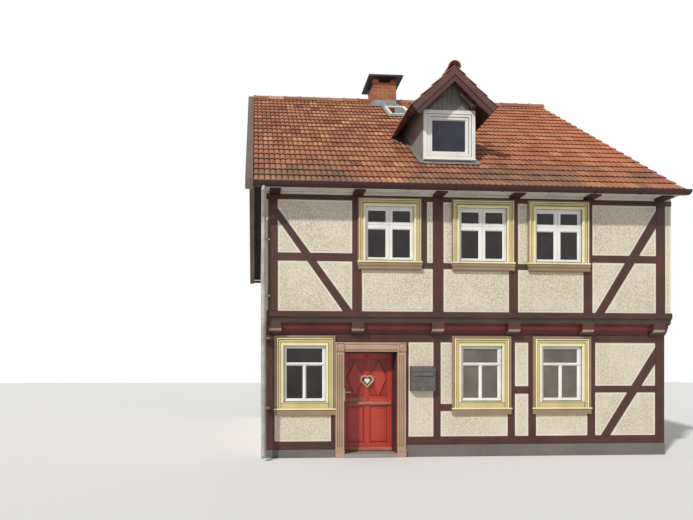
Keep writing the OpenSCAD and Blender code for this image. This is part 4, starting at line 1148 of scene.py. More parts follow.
def one_tile(length, top, lap=42):
    """A tile in millimetres: u across and s up the slope, with its crests at top."""
    bpy.ops.mesh.primitive_grid_add(x_subdivisions=16, y_subdivisions=1, size=1)
    tile = bpy.context.object
    for v in tile.data.vertices:
        u, s = (v.co.x + 0.5) * (TILE_W - 1.5), (v.co.y + 0.5) * (length + lap)
        lift = WAVE_H * (wave(u + 0.75) - 1)
        v.co = (u / 1000, s / 1000, (top - 1 + lift - COURSE_STEP * s / length) / 1000)
    hollow = [1 - wave(v.co.x * 1000 + 0.75) for v in tile.data.vertices]
    tile.data.attributes.new("hollow", "FLOAT", "POINT").data.foreach_set("value", hollow)
    opened(tile)
    bpy.ops.mesh.extrude_region_move(TRANSFORM_OT_translate={"value": (0, 0, -CLAY_T / 1000)})
    return closed(tile)


print("tile", round(TILE_W), "by", round(GAUGE), "mm, wave", [round(wave(u), 2) for u in (0, 20, 55)])

# %% [markdown]
# A field of tiles is laid from one tile as one joined mesh, with a small shift, tilt
# and tone of its own for each tile, because hundreds of separate objects would be
# slow. It is laid flat and then carried to its slope by the matrix from `facing`.

# %% A field of tiles
def tile_field(name, tile, across, up, width, length, seed, first_tone=0.0):
    """Lays copies of a tile in courses, joined in one mesh, each with its own tone."""
    rng = np.random.default_rng(seed)
    base = np.array([v.co for v in tile.data.vertices], float)
    faces = [tuple(p.vertices) for p in tile.data.polygons]
    carried = tile.data.attributes.get("hollow")
    hollow = [v.value for v in carried.data] if carried else [0.0] * len(base)
    points, polygons, tones = [], [], []
    for row in range(up):
        for column in range(across):
            spot = base.copy()
            turn = rng.normal(0, 0.003)
            spot[:, 0] += (column * width + rng.normal(0, 0.8)) / 1000 - (spot[:, 1] - length / 2000) * turn
            spot[:, 1] += (row * length + rng.normal(0, 2.0)) / 1000
            spot[:, 2] += min(0.0005, rng.normal(-0.001, 0.001))
            first = len(points) * len(base)
            points.append(spot)
            polygons += [tuple(first + k for k in f) for f in faces]
            tone = rng.normal(0.5, 0.2) + (first_tone if row == 0 else 0)
            tones += [float(np.clip(tone, 0, 1))] * len(faces)
    mesh = bpy.data.meshes.new(name)
    mesh.from_pydata(np.vstack(points).tolist(), [], polygons)
    mesh.attributes.new("tone", "FLOAT", "FACE").data.foreach_set("value", tones)
    mesh.attributes.new("hollow", "FLOAT", "POINT").data.foreach_set("value", hollow * len(points))
    bpy.data.objects.remove(tile)
    return linked(name, mesh)


def facing(point, across, up):
    """The place of a slope: its lower left corner and its two directions."""
    return Matrix.Translation(point) @ Matrix((across, up, across.cross(up))).transposed().to_4x4()


def laid(field, place):
    """Carries a piece to its place."""
    field.data.transform(place)
    return field


print("fields can be laid")

# %% [markdown]
# Each slope takes 21 courses of 38 tiles over a layer of felt. The slopes meet at the
# ridge, where the last course is trimmed. The felt is cut with plain blocks round the
# dormer, the chimney and the roof window. A tiler cuts the tiles there too, but here
# they run on, inside the stack and under the dormer and the roof window.

# %% Both slopes
def behind(place):
    """The same place on the rear slope."""
    middle = at((TILES_LEFT + HOUSE_W) / 2, RIDGE_Y, 0)
    return Matrix.Translation(middle) @ Matrix.Rotation(math.pi, 4, "Z") @ Matrix.Translation(-middle) @ place


def about(middle, half):
    """The span that reaches half to each side of a middle."""
    return (middle - half, middle + half)


def sloped(name, f, s, n):
    """A block on the front slope, from millimetres across, up and over it."""
    low, high = Vector((f[0], s[0], n[0])) / 1000, Vector((f[1], s[1], n[1])) / 1000
    bpy.ops.mesh.primitive_cube_add(size=1, location=(low + high) / 2, scale=high - low)
    return laid(settled(name), facing(on_slope(0, 0, 0), Vector((1, 0, 0)), up_slope))


def shorn(piece, point, normal):
    """Cuts away what lies behind a plane and closes the cut."""
    opened(piece)
    bpy.ops.mesh.bisect(plane_co=point, plane_no=normal, use_fill=True, clear_inner=True)
    bpy.ops.object.mode_set(mode="OBJECT")
    return piece


front_place = facing(on_slope(TILES_LEFT, 0, 0), Vector((1, 0, 0)), up_slope)
ridge_spot = at(0, RIDGE_Y, 0)
# The dormer: its middle, front, half width, and the half width, foot and pitch of its roof
DORMER_F, DORMER_Y, DORMER_HALF = 3540, 400, 508
DORMER_REACH, DORMER_EAVE, DORMER = 800, 6516, math.radians(43)
chimney_box = block("chimney_cutter", grown(STACK_X, 4), grown(STACK_Y, 4), (5000, 10000))
dormer_box = block("dormer_cutter", about(DORMER_F, DORMER_HALF + 4), (DORMER_Y - 4, 1752), (5000, 8000))
# The roof window: its middle, its height and how far up the slope its foot is
WINDOW_F, WINDOW_H = 3365, 780
WINDOW_S = up_to(RIDGE_Y - 482) - WINDOW_H
window_box = sloped("window_cutter", about(WINDOW_F, 259), (WINDOW_S - 4, WINDOW_S + WINDOW_H + 4),
                    (-300, 300))
for name, seed, place, way, holes in (
        ("front_roof", 5, front_place, -1, (chimney_box, dormer_box, window_box)),
        ("rear_roof", 8, behind(front_place), 1, (chimney_box,))):
    tiles = tile_field(name + "_tiles", one_tile(GAUGE, TILE_T), TILES_ACROSS, COURSES, TILE_W, GAUGE,
                       seed, 0.25)
    laid(tiles, place)
    shorn(tiles, ridge_spot, (0, way, 0))
    felt = sloped(name + "_felt", (TILES_LEFT + 2, HOUSE_W - 1), (0, SLOPE_LEN), (0.3, 4.3))
    if way > 0:
        laid(felt, behind(Matrix()))
    for cutter in holes:
        without(felt, cutter)
    placed(tiles, [roof_clay], [name])
    placed(felt, [iron_black])
    print(name, len(tiles.data.polygons), "faces")

# %% [markdown]
# The ridge is closed with half round tiles, each one slipped under the collar of the
# next and bedded in mortar. One ridge tile is a grid rolled round, with its collar
# formed in the rows of the grid, and given its thickness by a modifier.

# %% Ridge rows
def ridge_tile(length, r):
    """A half round tile along X, its collar over the tail of the one before."""
    bpy.ops.mesh.primitive_grid_add(x_subdivisions=5, y_subdivisions=16, size=1)
    tile = bpy.context.object
    rows = [(0, r + 5), (6, r + 8), (52, r + 8), (60, r), (length - 10, r - 1), (length + 20, r - 1)]
    for v in tile.data.vertices:
        along, radius = rows[round((v.co.x + 0.5) * 5)]
        a = (v.co.y + 0.5) * math.pi
        v.co = (along / 1000, -math.cos(a) * radius / 1000, math.sin(a) * radius / 1000)
    modified(tile, "SOLIDIFY", thickness=-0.014, offset=-1)
    return tile


row = tile_field("ridge_row", ridge_tile(389, 125), 20, 1, 389, 0, 3)
laid(row, Matrix.Translation(at(TILES_LEFT, RIDGE_Y, RIDGE_Z - 115)))
without(row, chimney_box)
DORMER_FRONT, DORMER_T = 100, 70
dormer_top = DORMER_EAVE + DORMER_REACH * math.tan(DORMER) + DORMER_T / math.cos(DORMER)
dormer_end = EAVE_Y + (dormer_top - EAVE_Z) / math.tan(PITCH)
length = (dormer_end - DORMER_FRONT) / 6
small_row = tile_field("dormer_ridge_row", ridge_tile(length, 100), 6, 1, length, 0, 4)
laid(small_row, facing(at(DORMER_F, DORMER_FRONT, dormer_top - 80), Vector((0, 1, 0)), Vector((-1, 0, 0))))
shorn(small_row, on_slope(0, 0, 40), off_slope)
placed(joined("ridge_tile_rows", [row, small_row]), [ridge_clay], ["ridge_tiles"])
profile = [(60, 150), (112, 166), (119, 112), (60, 88)]
beds = [cut_out("ridge_bed", [(RIDGE_Y + d * y, RIDGE_Z - z) for y, z in profile],
                (TILES_LEFT + 3, HOUSE_W - 3), "X") for d in (-1, 1)]
bed = without(joined("ridge_bed", beds), chimney_box)
placed(bed, [verge_mortar])
print("ridge rows", len(row.data.polygons), "faces")

# %% [markdown]
# The dormer has its own small roof with four courses a side, laid over dark boards
# and cut to the main roof where they meet.

# %% Dormer tiles
dormer_across, dormer_up = 12, 4
dormer_length = DORMER_REACH / math.cos(DORMER)
gauge = (dormer_length + (DORMER_T - COURSE_STEP) * math.tan(DORMER)) / dormer_up
sides = []
for side in (-1, 1):
    up = Vector((-side * math.cos(DORMER), 0, math.sin(DORMER)))
    tiles = tile_field("dormer_tiles", one_tile(gauge, DORMER_T, 30), dormer_across, dormer_up,
                       TILE_W, gauge, 20 + side, 0.2)
    y = DORMER_FRONT if side > 0 else DORMER_FRONT + dormer_across * TILE_W
    laid(tiles, facing(at(DORMER_F + side * DORMER_REACH, y, DORMER_EAVE), Vector((0, side, 0)), up))
    shorn(tiles, at(DORMER_F, 0, 0), (side, 0, 0))
    sides.append(tiles)
dormer_tiles = shorn(joined("dormer_roof_tiles", sides), on_slope(0, 0, 34), off_slope)
placed(dormer_tiles, [roof_clay], ["dormer_roof"])
rise = DORMER_REACH * math.tan(DORMER)
gable = [(-1, 0), (0, rise), (1, 0), (1, 24), (0, rise + 26), (-1, 24)]
gable = [(DORMER_F + side * DORMER_REACH, DORMER_EAVE + z) for side, z in gable]
sheath = cut_out("dormer_roof_boards", gable, (DORMER_FRONT + 3, 2500))
shorn(sheath, on_slope(0, 0, 20), off_slope)
placed(grained(sheath, (0, 1, 0)), [dormer_brown])
print("dormer", len(dormer_tiles.data.polygons), "faces, end", round(dormer_end))

# %% [markdown]
# ## The dormer
#
# The dormer is clad with upright boards. Its window has a stepped casing, which is
# one more run of nested rectangles, and lead is dressed over the tiles round it.

# %% Dormer cladding and window
def under_roof(f):
    """Height of the dormer roof's underside at f."""
    return DORMER_EAVE + (DORMER_REACH - abs(f - DORMER_F)) * math.tan(DORMER)


def main_top(y):
    """Height of the main roof's tiles at y."""
    return EAVE_Z + (y - EAVE_Y) * math.tan(PITCH)


def painted(piece, paint, way=(0, 0, 1), ease=0):
    """Eases a piece's edges and gives it one paint and its grain, before it is joined to others."""
    if ease:
        eased(piece, ease)
    piece.data.materials.append(paint)
    return grained(piece, way)


def moulding(name, outline, span, paint):
    """A planed strip: a profile of (y, z) points run along the front."""
    return painted(cut_out(name, outline, span, "X"), paint, (1, 0, 0))


def evened(lines, heights):
    """Lines from (half width, foot, y, paint), where each foot and head add up to heights."""
    return [(-half, half, foot, heights - foot, y, paint) for half, foot, y, paint in lines]


walls = from_solid("dormer_walls", whole=False)
placed(grained(walls, (0, 0, 1)), [dormer_grey], ["dormer_walls"])
front_boards, side_boards = 11, 14
# The foot of the boards over the window, and their thickness
BOARD_FOOT, BOARD_T = 6590, 14
board_w = 2 * DORMER_HALF / front_boards
boards = []
for i in range(front_boards):
    a, b = DORMER_F - DORMER_HALF + i * board_w + 2, DORMER_F - DORMER_HALF + (i + 1) * board_w - 2
    peak = [(DORMER_F, under_roof(DORMER_F) - 2)] if i == front_boards // 2 else []
    outline = [(a, BOARD_FOOT), (b, BOARD_FOOT), (b, under_roof(b) - 2)] + peak + [(a, under_roof(a) - 2)]
    boards.append(painted(cut_out("board", outline, (DORMER_Y - BOARD_T, DORMER_Y + 1)), dormer_grey, ease=3))
for side in (-1, 1):
    out = DORMER_F + side * DORMER_HALF
    top = under_roof(out) - 2
    for i in range(side_boards):
        a, b = DORMER_Y + i * board_w + 2, DORMER_Y + (i + 1) * board_w - 2
        outline = [(a, main_top(a) - 40), (b, main_top(b) - 40), (b, top), (a, top)]
        if main_top(a) < top:
            board = cut_out("board", outline, sorted((out, out + side * BOARD_T)), "X")
            boards.append(painted(board, dormer_grey, ease=3))
placed(joined("dormer_cladding", boards), [])
# Two steps of the dormer casing take the groove paint, painted shade
lines = [(508, 5640, -26, 0), (505, 5643, -30, 0), (436, 5712, -30, 1), (431, 5717, -20, 0),
         (428, 5720, -23, 0), (384, 5764, -23, 1), (378, 5770, -10, 0), (375, 5773, -12, 0),
         (338, 5810, -12, 0), (326, 5822, 14, 0), (326, 5822, 24, 0)]
casing_part = moulded_frame("dormer_casing", evened(lines, 5640 + 6600), 58, [sash_white, groove_shade])
outer = moved(casing_part, DORMER_F - HOUSE_W / 2, DORMER_Y - HOUSE_D / 2, 0)
bpy.data.objects.remove(casing_part)
profile = [(400, 5640), (354, 5640), (350, 5646), (352, 5656), (366, 5664), (400, 5668)]
shelf = moulding("dormer_sill", profile, about(DORMER_F, DORMER_HALF + 4), sash_white)
joinery = joined("dormer_window_joinery", [grained(outer, (0, 0, 1)), shelf])
placed(joinery, [], ["dormer_window"])
# The verge boards and the head over the window are brown, and the soffit between them is painted dark brown
# as shade
trim = eased(from_solid("dormer_trim", whole=False), 3)
placed(grained(trim, (1, 0, 0)), [dormer_brown, lining_brown_and_soffit_shade], ["dormer_trim"],
       pick=lambda c, n: 0 if mm(c)[1] < 114.5 or 200 < mm(c)[1] < 292 else 1)
print("dormer clad with", len(boards), "boards")

# %% [markdown]
# Where a wall comes through the tiles, a plumber dresses lead over them: an apron in
# front, soakers along the cheeks and a flap at the foot of each valley.

# %% Lead round the dormer
lead = [sloped("apron", about(DORMER_F, 545), (up_to(DORMER_Y - 78), up_to(DORMER_Y + 2)), (60, 63))]
for side in (-1, 1):
    out = DORMER_F + side * (DORMER_HALF + BOARD_T)
    length = (up_to(DORMER_Y - 55), up_to(DORMER_Y + 1240))
    lead.append(sloped("soaker", sorted((out, out + side * 80)), length, (59.5, 62.5)))
    foot = sorted((DORMER_F + side * 735, DORMER_F + side * 850))
    lead.append(sloped("valley_foot", foot, (up_to(DORMER_Y + 930), up_to(DORMER_Y + 1070)), (60, 64)))
for piece in lead:
    eased(piece, 1.2, 1)
placed(joined("dormer_lead", lead), [lead_flashing])
print(len(lead), "sheets of lead")

# %% [markdown]
# The roof window is a white frame with a dark pane and a lead skirt. It is built
# upright like the other windows and then laid down on the slope.

# %% Roof window
def laid_down(piece):
    """Lays an upright window unit on the slope at the roof window's place."""
    piece.data.transform(Matrix.Rotation(-math.pi / 2, 4, "X"))
    return laid(piece, facing(on_slope(WINDOW_F, WINDOW_S, 0), Vector((1, 0, 0)), up_slope))


lines = [(255, 0, -91, 0), (251, 4, -95, 0), (212, 43, -95, 0),
         (206, 49, -88, 0), (200, 55, -78, 0), (200, 55, -70, 0)]
light = laid_down(moulded_frame("roof_window_frame", evened(lines, WINDOW_H), -1, [sash_white]))
placed(light, [], ["roof_window"])
lines = [(330, -80, -60.5, 0), (328, -78, -63, 0), (256, -2, -66, 0), (255, -1, -60, 0)]
skirt = laid_down(moulded_frame("roof_window_skirt", evened(lines, WINDOW_H), -57, [lead_flashing]))
placed(skirt, [])
pane = sloped("roof_window_pane", about(WINDOW_F, 206), (WINDOW_S + 49, WINDOW_S + WINDOW_H - 49), (70, 76))
placed(pane, [window_glass])
print("roof window laid")

# %% [markdown]
# ## The chimney
#
# A bricklayer turns the corners with the ends of the bricks, and each course starts
# from the other hand than the one below, so no joint stands over another. Bricks are
# laid only where they show, over the roof, round a core of mortar.

# %% Chimney
def ends(span, width):
    """Two strips of a width, inside the ends of a span."""
    return ((span[0], span[0] + width), (span[1] - width, span[1]))


# The stack ends 398 over the ridge and shows fifteen courses, with piers over them
STACK_TOP, BRICK_COURSES, COURSE_H, JOINT, PIER_H = 8788.8 + 398, 15, 83, 12, 84
# A brick's width, its length and the piece that closes a course
BRICK_W, LONG, SHORT = 112, 236, 114
rng = random.Random(12)
bricks = []


def brick(x, y, z):
    """Lays one brick with its own tone."""
    piece = eased(block("brick", x, y, z), 4, 1)
    tone = min(1.0, max(0.0, rng.gauss(0.5, 0.22)))
    values = [tone] * len(piece.data.polygons)
    piece.data.attributes.new("tone", "FLOAT", "FACE").data.foreach_set("value", values)
    bricks.append(piece)


pier_z = STACK_TOP - PIER_H
for row in range(BRICK_COURSES):
    z = (pier_z - (row + 1) * COURSE_H + JOINT, pier_z - row * COURSE_H)
    for y in ends(STACK_Y, BRICK_W):
        x = STACK_X[0]
        for length in (LONG, LONG, SHORT) if row % 2 else (SHORT, LONG, LONG):
            brick((x, x + length), y, z)
            x += length + JOINT
    near, far = STACK_Y[0] + BRICK_W + JOINT, STACK_Y[1] - BRICK_W - JOINT
    split = near + SHORT if row % 2 else far - SHORT - JOINT
    for x in ends(STACK_X, BRICK_W):
        brick(x, (near, split), z)
        brick(x, (split + JOINT, far), z)
# Four piers carry the slab
for x in ends(STACK_X, 135):
    for y in ends(STACK_Y, 130):
        brick(x, y, (pier_z + JOINT, STACK_TOP - 1))
placed(joined("chimney_bricks", bricks), [brick_clay])
core = from_solid("chimney", whole=False)
middle = at(sum(STACK_X) / 2, sum(STACK_Y) / 2, 0)
core.data.transform(Matrix.Translation(middle) @ Matrix.Diagonal((0.975, 0.975, 1, 1))
                    @ Matrix.Translation(-middle))
placed(core, [joint_mortar], ["chimney"])
dressed("chimney_cap", [cap_slab], 7, segments=3)
print(len(bricks), "bricks")

# %% [markdown]
# Lead closes the gap between the stack and the tiles: an apron below, soakers beside,
# and step flashing that climbs the sides.

# %% Lead round the chimney
FRONT, STEPS_END = STACK_Y[0], STACK_Y[0] + 175
lead = [sloped("apron", grown(STACK_X, 70), (up_to(FRONT - 100), up_to(FRONT + 2)), (58, 61))]
for side, x in ((-1, STACK_X[0]), (1, STACK_X[1])):
    beside = sorted((x, x + side * 70))
    lead.append(sloped("soaker", beside, (up_to(FRONT - 100), up_to(STEPS_END)), (57, 60)))
    # Each corner of the lead is behind the front, over the tiles of a place, by a height
    stepped = [(0, 0, -10), (175, 175, -10), (175, 175, 60), (130, 175, 60),
               (130, 90, 50), (60, 90, 50), (60, 30, 50), (0, 30, 50)]
    stepped = [(FRONT + y, main_top(FRONT + level) + over_tiles) for y, level, over_tiles in stepped]
    lead.append(cut_out("step_lead", stepped, sorted((x, x + side * 3)), "X"))
lead.append(block("front_lead", STACK_X, (FRONT - 3, FRONT),
                  (main_top(FRONT) - 20, main_top(FRONT) + 110)))
placed(joined("chimney_lead", lead), [lead_flashing])
print(len(lead), "sheets of lead")

# %% [markdown]
# ## Verge and gutters
#
# The left verge is closed with a band of mortar. The half round gutter is folded
# sheet with a rolled front edge, hung in flat brackets, and the zinc pipe is pushed
# together from lengths, with a collar at each joint.

# %% Verge and gutters
def turned_bar(name, radius, length, spot, rotation, ease):
    """A round bar with eased ends; spot is its middle in millimetres."""
    bpy.ops.mesh.primitive_cylinder_add(vertices=28, radius=radius / 1000, depth=length / 1000,
                                        location=at(*spot), rotation=[math.radians(r) for r in rotation])
    return eased(settled(name), ease, 3)


dressed("verge_bands", [verge_mortar], 8, (0, 1, 0))
gutter = from_solid("gutters", whole=False)
gutter.data.materials.append(gutter_red)
# The middle of the front gutter, and how far apart its straps are
GUTTER_Y, GUTTER_Z, STRAP_EVERY = UNDER_Y - 75, UNDER_Z - 15, 840
bead_at = ((HOUSE_W + TILES_LEFT) / 2, GUTTER_Y - 72, GUTTER_Z - 1)
bead = turned_bar("bead", 8, HOUSE_W - TILES_LEFT, bead_at, (0, 90, 0), 2)
bpy.ops.mesh.primitive_cylinder_add(vertices=40, radius=0.0765, depth=0.026, end_fill_type="NOTHING",
                                    rotation=(0, math.radians(90), 0))
strap = settled("gutter_strap")
choose(strap, lambda c, n: c.z > 0.002)
bpy.ops.mesh.delete(type="FACE")
bpy.ops.object.mode_set(mode="OBJECT")
modified(strap, "SOLIDIFY", thickness=0.004, offset=1)
straps = [moved(strap, f - HOUSE_W / 2, GUTTER_Y - HOUSE_D / 2, GUTTER_Z)
          for f in range(-60, HOUSE_W - 50, STRAP_EVERY)]
bpy.data.objects.remove(strap)
near = joined("gutter_fittings", [bead] + straps)
near.data.materials.append(gutter_red)
far = moved(near, 0, 0, 0)
far.data.transform(behind(Matrix()))
placed(joined("gutter_sheet", [gutter, near, far]), [], ["gutters"])
pipe = from_solid("downpipe", whole=False)
collars = [turned_bar("collar", 46, 46, (-50, JETTY - 72, z), (0, 0, 0), 4) for z in (1560, 3330)]
placed(joined("rain_pipe", [pipe] + collars), [zinc], ["downpipe"])
print("gutters hung")

# %% [markdown]
# The blocks that cut the openings in the tiles have done their work.

# %% Cutters away
for cutter in (chimney_box, dormer_box, window_box):
    bpy.data.objects.remove(cutter)
print("roof done")

# %% [markdown]
# ## The doorway
#
# Two pilasters with three flutes each carry a lintel between square corner blocks.
# The shaft of a pilaster is one outline in plan, with the flutes as half round bites,
# drawn up to its height. The corner blocks are sunk in the middle round a raised
# diamond, and the lintel and the foot blocks have the profiles of planed mouldings.

# %% Door surround
DOOR_L, DOOR_R, DOOR_Y = 1422, 2406, 310
# Half a pilaster's width, and the lintel's foot and top
PILASTER, LINTEL_LOW, LINTEL_TOP = 80, 1932, 2101


def sunk(piece, *steps):
    """Insets the front of a piece in (thickness, depth) steps of millimetres."""
    choose(piece, lambda c, n: n.y < -0.9)
    for thickness, depth in steps:
        bpy.ops.mesh.inset(thickness=thickness / 1000, depth=depth / 1000)
    bpy.ops.object.mode_set(mode="OBJECT")
    return piece


def bitten(centre, half, face, bites, radius):
    """A plan outline with half round flutes in its front face."""
    points = [(centre - half, 0), (centre - half, face + 4), (centre - half + 4, face)]
    for b in bites:
        points += [(centre + b - radius * math.cos(a), face + radius * math.sin(a))
                   for a in np.linspace(0, math.pi, 9)]
    return points + [(centre + half - 4, face), (centre + half, face + 4), (centre + half, 0)]


parts = []
for c in (DOOR_L - PILASTER, DOOR_R + PILASTER):
    wide = about(c, PILASTER)
    plan = bitten(c, PILASTER, -40, (-38, 0, 38), 10)
    shaft = painted(cut_out("shaft", plan, (190, 1872), "Z"), surround_tan)
    # The faces inside the flutes get the darker tan, painted shade
    shaft.data.materials.append(surround_shade)
    for p in shaft.data.polygons:
        in_flute = -39.5 < mm(p.center)[1] < -20
        p.material_index = int(in_flute and abs(p.normal.z) < 0.5 and abs(p.normal.x) < 0.95)
    parts.append(shaft)
    for z in ((130, 190), (1872, LINTEL_LOW)):
        parts.append(painted(block("shaft_end", wide, (-40, 0), z), surround_tan, ease=3))
    parts.append(painted(block("foot", wide, (-58, 0), (0, 104)), surround_tan, ease=4))
    foot_top = [(0, 104), (-56, 104), (-62, 108), (-63, 114), (-58, 119), (-50, 121), (-44, 130), (0, 130)]
    parts.append(moulding("foot_top", foot_top, grown(wide, 3), surround_tan))
    corner_block = eased(block("corner_block", wide, (-58, 0), (LINTEL_LOW, LINTEL_TOP)), 3)
    parts.append(painted(sunk(corner_block, (18, 0), (6, -11)), surround_tan))
    z = (LINTEL_LOW + LINTEL_TOP) / 2
    diamond = cut_out("diamond", [(c, z - 54), (c + 52, z), (c, z + 54), (c - 52, z)], (-50, -44))
    parts.append(painted(sunk(diamond, (31, 12)), surround_tan, (1, 0, 1)))
lintel = [(0, LINTEL_LOW), (-33, LINTEL_LOW), (-33, 1944), (-24, 1947), (-24, 1952), (-37, 1955),
          (-37, 1967), (-28, 1970), (-28, 1975), (-40, 1978), (-40, 2060), (-46, 2066), (-52, 2070),
          (-54, 2082), (-53, 2094), (-46, LINTEL_TOP), (0, LINTEL_TOP)]
parts.append(moulding("lintel", lintel, (DOOR_L, DOOR_R), surround_tan))
surround = placed(joined("door_surround_joinery", parts), [], ["door_surround"])
dressed("door_frame", [lining_brown_and_soffit_shade], 3, (0, 0, 1))
dressed("threshold", [step_stone], 7, segments=3)
print("surround", len(surround.data.polygons), "faces")

# %% [markdown]
# The leaf is framed and ledged: two stiles, a centre strip with three beads, a top
# and bottom rail and a wide middle rail. Over the middle rail each side holds a
# lozenge, under it a tall raised field, and a drip ledge throws the rain off. A
# joiner would run the mouldings on separate strips, so they are separate here too.

# %% Door leaf
LEAF_X, LEAF_Z = (1431, 2400), (71, 1926)
# The middle of the leaf, the width of a stile and half that of the centre strip
MID, STILE, CENTRE = sum(LEAF_X) / 2, 90, 50


def from_face(near, far):
    """A span of depths behind the face of the leaf."""
    return (DOOR_Y + near, DOOR_Y + far)


ground = block("ground", grown(LEAF_X, -2), from_face(20, 50), LEAF_Z)
parts = [painted(ground, door_dark, ease=2)]
for x in (*ends(LEAF_X, STILE), about(MID, CENTRE)):
    parts.append(painted(block("stile", x, from_face(0, 34), LEAF_Z), door_red, ease=3))
for z in ((LEAF_Z[0], 225), (915, 1080), (1816, LEAF_Z[1])):
    for x in ((LEAF_X[0] + STILE - 1, MID - CENTRE + 1), (MID + CENTRE - 1, LEAF_X[1] - STILE + 1)):
        parts.append(painted(block("rail", x, from_face(1, 34), z), door_red, (1, 0, 0), 3))
kick = [(4, 2), (-14, 2), (-14, 44), (-4, 66), (4, 70)]
kick = [(DOOR_Y + y, LEAF_Z[0] + z) for y, z in kick]
parts.append(moulding("kick_board", kick, grown(LEAF_X, -8), door_worn_and_lit))
for x in (-24, 0, 24):
    ring = [(MID + x + 8 * math.cos(a), DOOR_Y + 2 - 10 * math.sin(a)) for a in np.linspace(0, math.pi, 9)]
    parts.append(painted(cut_out("bead", ring, (1012, LEAF_Z[1] - 34), "Z"), door_red))
ledge = [(4, 938), (-30, 944), (-35, 950), (-35, 964), (-30, 970), (-12, 980), (-6, 996), (4, 1000)]
ledge = [(DOOR_Y + y, z) for y, z in ledge]
# The ledge's paler paint is a painted highlight of its lit top
parts.append(moulding("ledge", ledge, grown(LEAF_X, -26), door_worn_and_lit))
rounded = [(DOOR_Y + 4 - 14 * math.sin(a), 1092 - 12 * math.cos(a)) for a in np.linspace(0, math.pi, 9)]
parts.append(moulding("foot_bead", rounded, grown(LEAF_X, -88), door_red))
PANEL_W, LOZENGE_Z = LEAF_X[1] - STILE - MID - CENTRE, 1448
for s in (-1, 1):
    c = MID + s * (CENTRE + PANEL_W / 2)
    # A lozenge field: a moulded edge, a sunk line and a flat bright field
    points = [(c, LOZENGE_Z - 346), (c + 156, LOZENGE_Z), (c, LOZENGE_Z + 346), (c - 156, LOZENGE_Z)]
    lozenge = cut_out("lozenge", points, from_face(8, 22))
    parts.append(painted(sunk(lozenge, (7, 6), (12, 0), (6, -7), (20, 4)), door_red))
    # The strips that mitre the four corners of the ground beside the lozenge
    for dx, dz in ((-1, -1), (1, -1), (-1, 1), (1, 1)):
        z = LOZENGE_Z + dz * 330
        corner = [(c + dx * 166, z), (c + dx * 166, LOZENGE_Z + dz * 30), (c + dx * 22, z)]
        wedge = cut_out("wedge", corner, from_face(12, 22))
        parts.append(painted(sunk(wedge, (12, -4)), door_dark))
    field = block("field", about(c, 154), from_face(12, 22), (246, 896))
    parts.append(painted(sunk(field, (6, 6), (14, 0), (5, -8), (30, 9)), door_red))
leaf = placed(joined("door_leaf_joinery", parts), [], ["door_leaf"], body="door")
print("leaf", len(leaf.data.polygons), "faces")

# %% [markdown]
# The handle is turned steel on a plate, and the letter slot is a sunk brass frame.
# The straps and pins inside are forged iron.

# %% Door furniture
dressed("door_straps", [iron_black], 1.5, body="door")
dressed("door_pintles", [iron_black], 1.5)
x, LEVER_Z = LEAF_X[0] + STILE / 2, 1180
parts = [eased(block("plate", about(x, 20), from_face(-6, 0), (1010, 1240)), 2.5, 3),
         turned_bar("neck", 9, 46, (x, DOOR_Y - 27, LEVER_Z), (90, 0, 0), 2),
         turned_bar("collar", 15, 8, (x, DOOR_Y - 8, LEVER_Z), (90, 0, 0), 2),
         turned_bar("lever", 9, 132, (x + 54, DOOR_Y - 50, LEVER_Z), (0, 90, 0), 6),
         turned_bar("key_ring", 12, 4, (x, DOOR_Y - 7, 1070), (90, 0, 0), 1)]
handle = joined("door_handle_set", parts)
handle.data.materials.append(steel_satin)
placed(handle, [], ["door_handle"], body="door")
slot_plate = eased(block("letter_slot", (MID - 330, MID - 95), from_face(-4, 2), (1012, 1056)), 2, 3)
sunk(slot_plate, (7, 0), (2, -3), (2, 4))
placed(slot_plate, [brass_dull], body="door")
print("furniture on the door")

# %% [markdown]
# A florist winds straw round a bent wire: five strands twist about one heart shaped
# line. The line is made of two straight sides and two half circles, and each strand
# is a round curve beside it, turned to mesh. A small painted heart hangs inside.

# %% Wreath
def heart_line(size, count):
    """Points round a heart that stands on its tip at (0, 0)."""
    low = [Vector((0, 0)), Vector((0.7071, 0.7071))]
    arc = [Vector((0.3536 + 0.5 * math.cos(a), 1.0607 + 0.5 * math.sin(a)))
           for a in np.linspace(-math.pi / 4, 3 * math.pi / 4, 24)]
    half = [low[0] + (low[1] - low[0]) * i / 12 for i in range(12)] + arc
    whole = half + [Vector((-p.x, p.y)) for p in reversed(half)]
    steps = [0.0]
    for a, b in zip(whole[:-1], whole[1:]):
        steps.append(steps[-1] + (b - a).length)
    at_length = np.linspace(0, steps[-1], count, endpoint=False)
    xs = np.interp(at_length, steps, [p.x for p in whole])
    zs = np.interp(at_length, steps, [p.y for p in whole])
    return [Vector((x * size, z * size)) for x, z in zip(xs, zs)]


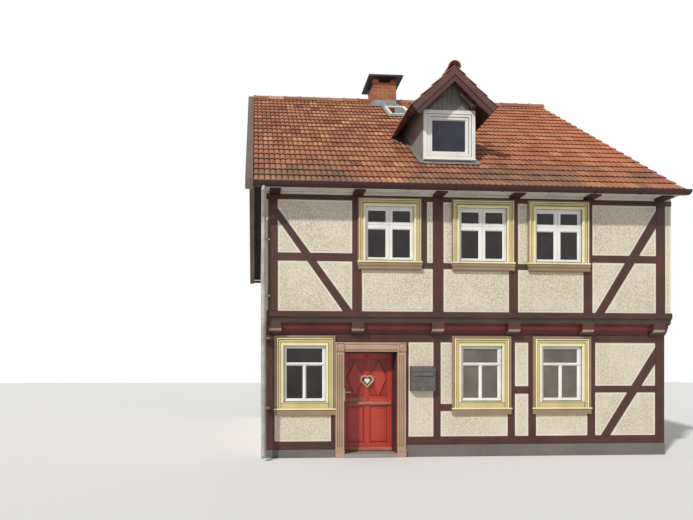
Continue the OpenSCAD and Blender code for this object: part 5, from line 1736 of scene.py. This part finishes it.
STRANDS, TURNS = 5, 11
line = heart_line(132, 150)
centre = sum(line, Vector((0, 0))) / len(line)
strands = []
for k in range(STRANDS):
    curve = bpy.data.curves.new("strand", "CURVE")
    curve.dimensions = "3D"
    curve.bevel_depth = 0.0088
    curve.bevel_resolution = 2
    spline = curve.splines.new("POLY")
    spline.points.add(len(line) - 1)
    spline.use_cyclic_u = True
    for i, p in enumerate(line):
        a = 2 * math.pi * (TURNS * i / len(line) + k / STRANDS)
        out = (p - centre).normalized() * 13 * math.cos(a)
        spot = at(MID + p.x + out.x, DOOR_Y - 22 - 7 * math.sin(a), 1277 + p.y + out.y)
        spline.points[i].co = (*spot, 1)
    only(linked("strand", curve))
    bpy.ops.object.convert(target="MESH")
    strands.append(grained(bpy.context.object, (0, 0, 1), k))
wreath = joined("wreath_straw", strands)
wreath.data.materials.append(straw)
small = heart_line(62, 64)
heart = cut_out("small_heart", [(MID + p.x, 1340 + p.y) for p in small], from_face(-24, -9))
painted(eased(heart, 4, 3, 50), heart_white)
thread = painted(block("thread", about(MID, 1.5), from_face(-14, -11), (1420, 1462)), straw)
placed(joined("door_heart_wreath", [wreath, heart, thread]), [], ["door_wreath"], body="door")
print("wreath", len(wreath.data.polygons), "faces")

# %% [markdown]
# The letter box beside the door is folded sheet: a body with a lid that laps over
# its front, a hood over the slot, and the gap under the lid, painted dark as shade.

# %% Letter box
BOX = (2645, 3088)
body = [(15, 1210), (-108, 1210), (-108, 1596), (-94, 1630), (15, 1664)]
parts = [painted(cut_out("box_body", body, BOX, "X"), box_grey, ease=5)]
lid = [(15, 1671), (-97, 1637), (-112, 1602), (-113, 1566),
       (-109, 1566), (-108, 1600), (-94, 1633), (15, 1666)]
parts.append(painted(cut_out("box_lid", lid, grown(BOX, 3), "X"), box_grey))
hood = [(-108, 1480), (-124, 1487), (-128, 1493), (-128, 1499), (-122, 1514), (-112, 1552), (-108, 1556)]
parts.append(painted(cut_out("box_hood", hood, grown(BOX, -40), "X"), box_grey))
# The gap under the lid is painted shade
parts.append(painted(block("slot", grown(BOX, -40), (-111, -107), (1557, 1565)), groove_shade))
parts.append(painted(turned_bar("lock", 8, 8, (BOX[0] + 222, -110, 1250), (90, 0, 0), 1), steel_satin))
placed(joined("letter_box", parts), [], ["mailbox"])
print("letter box built")
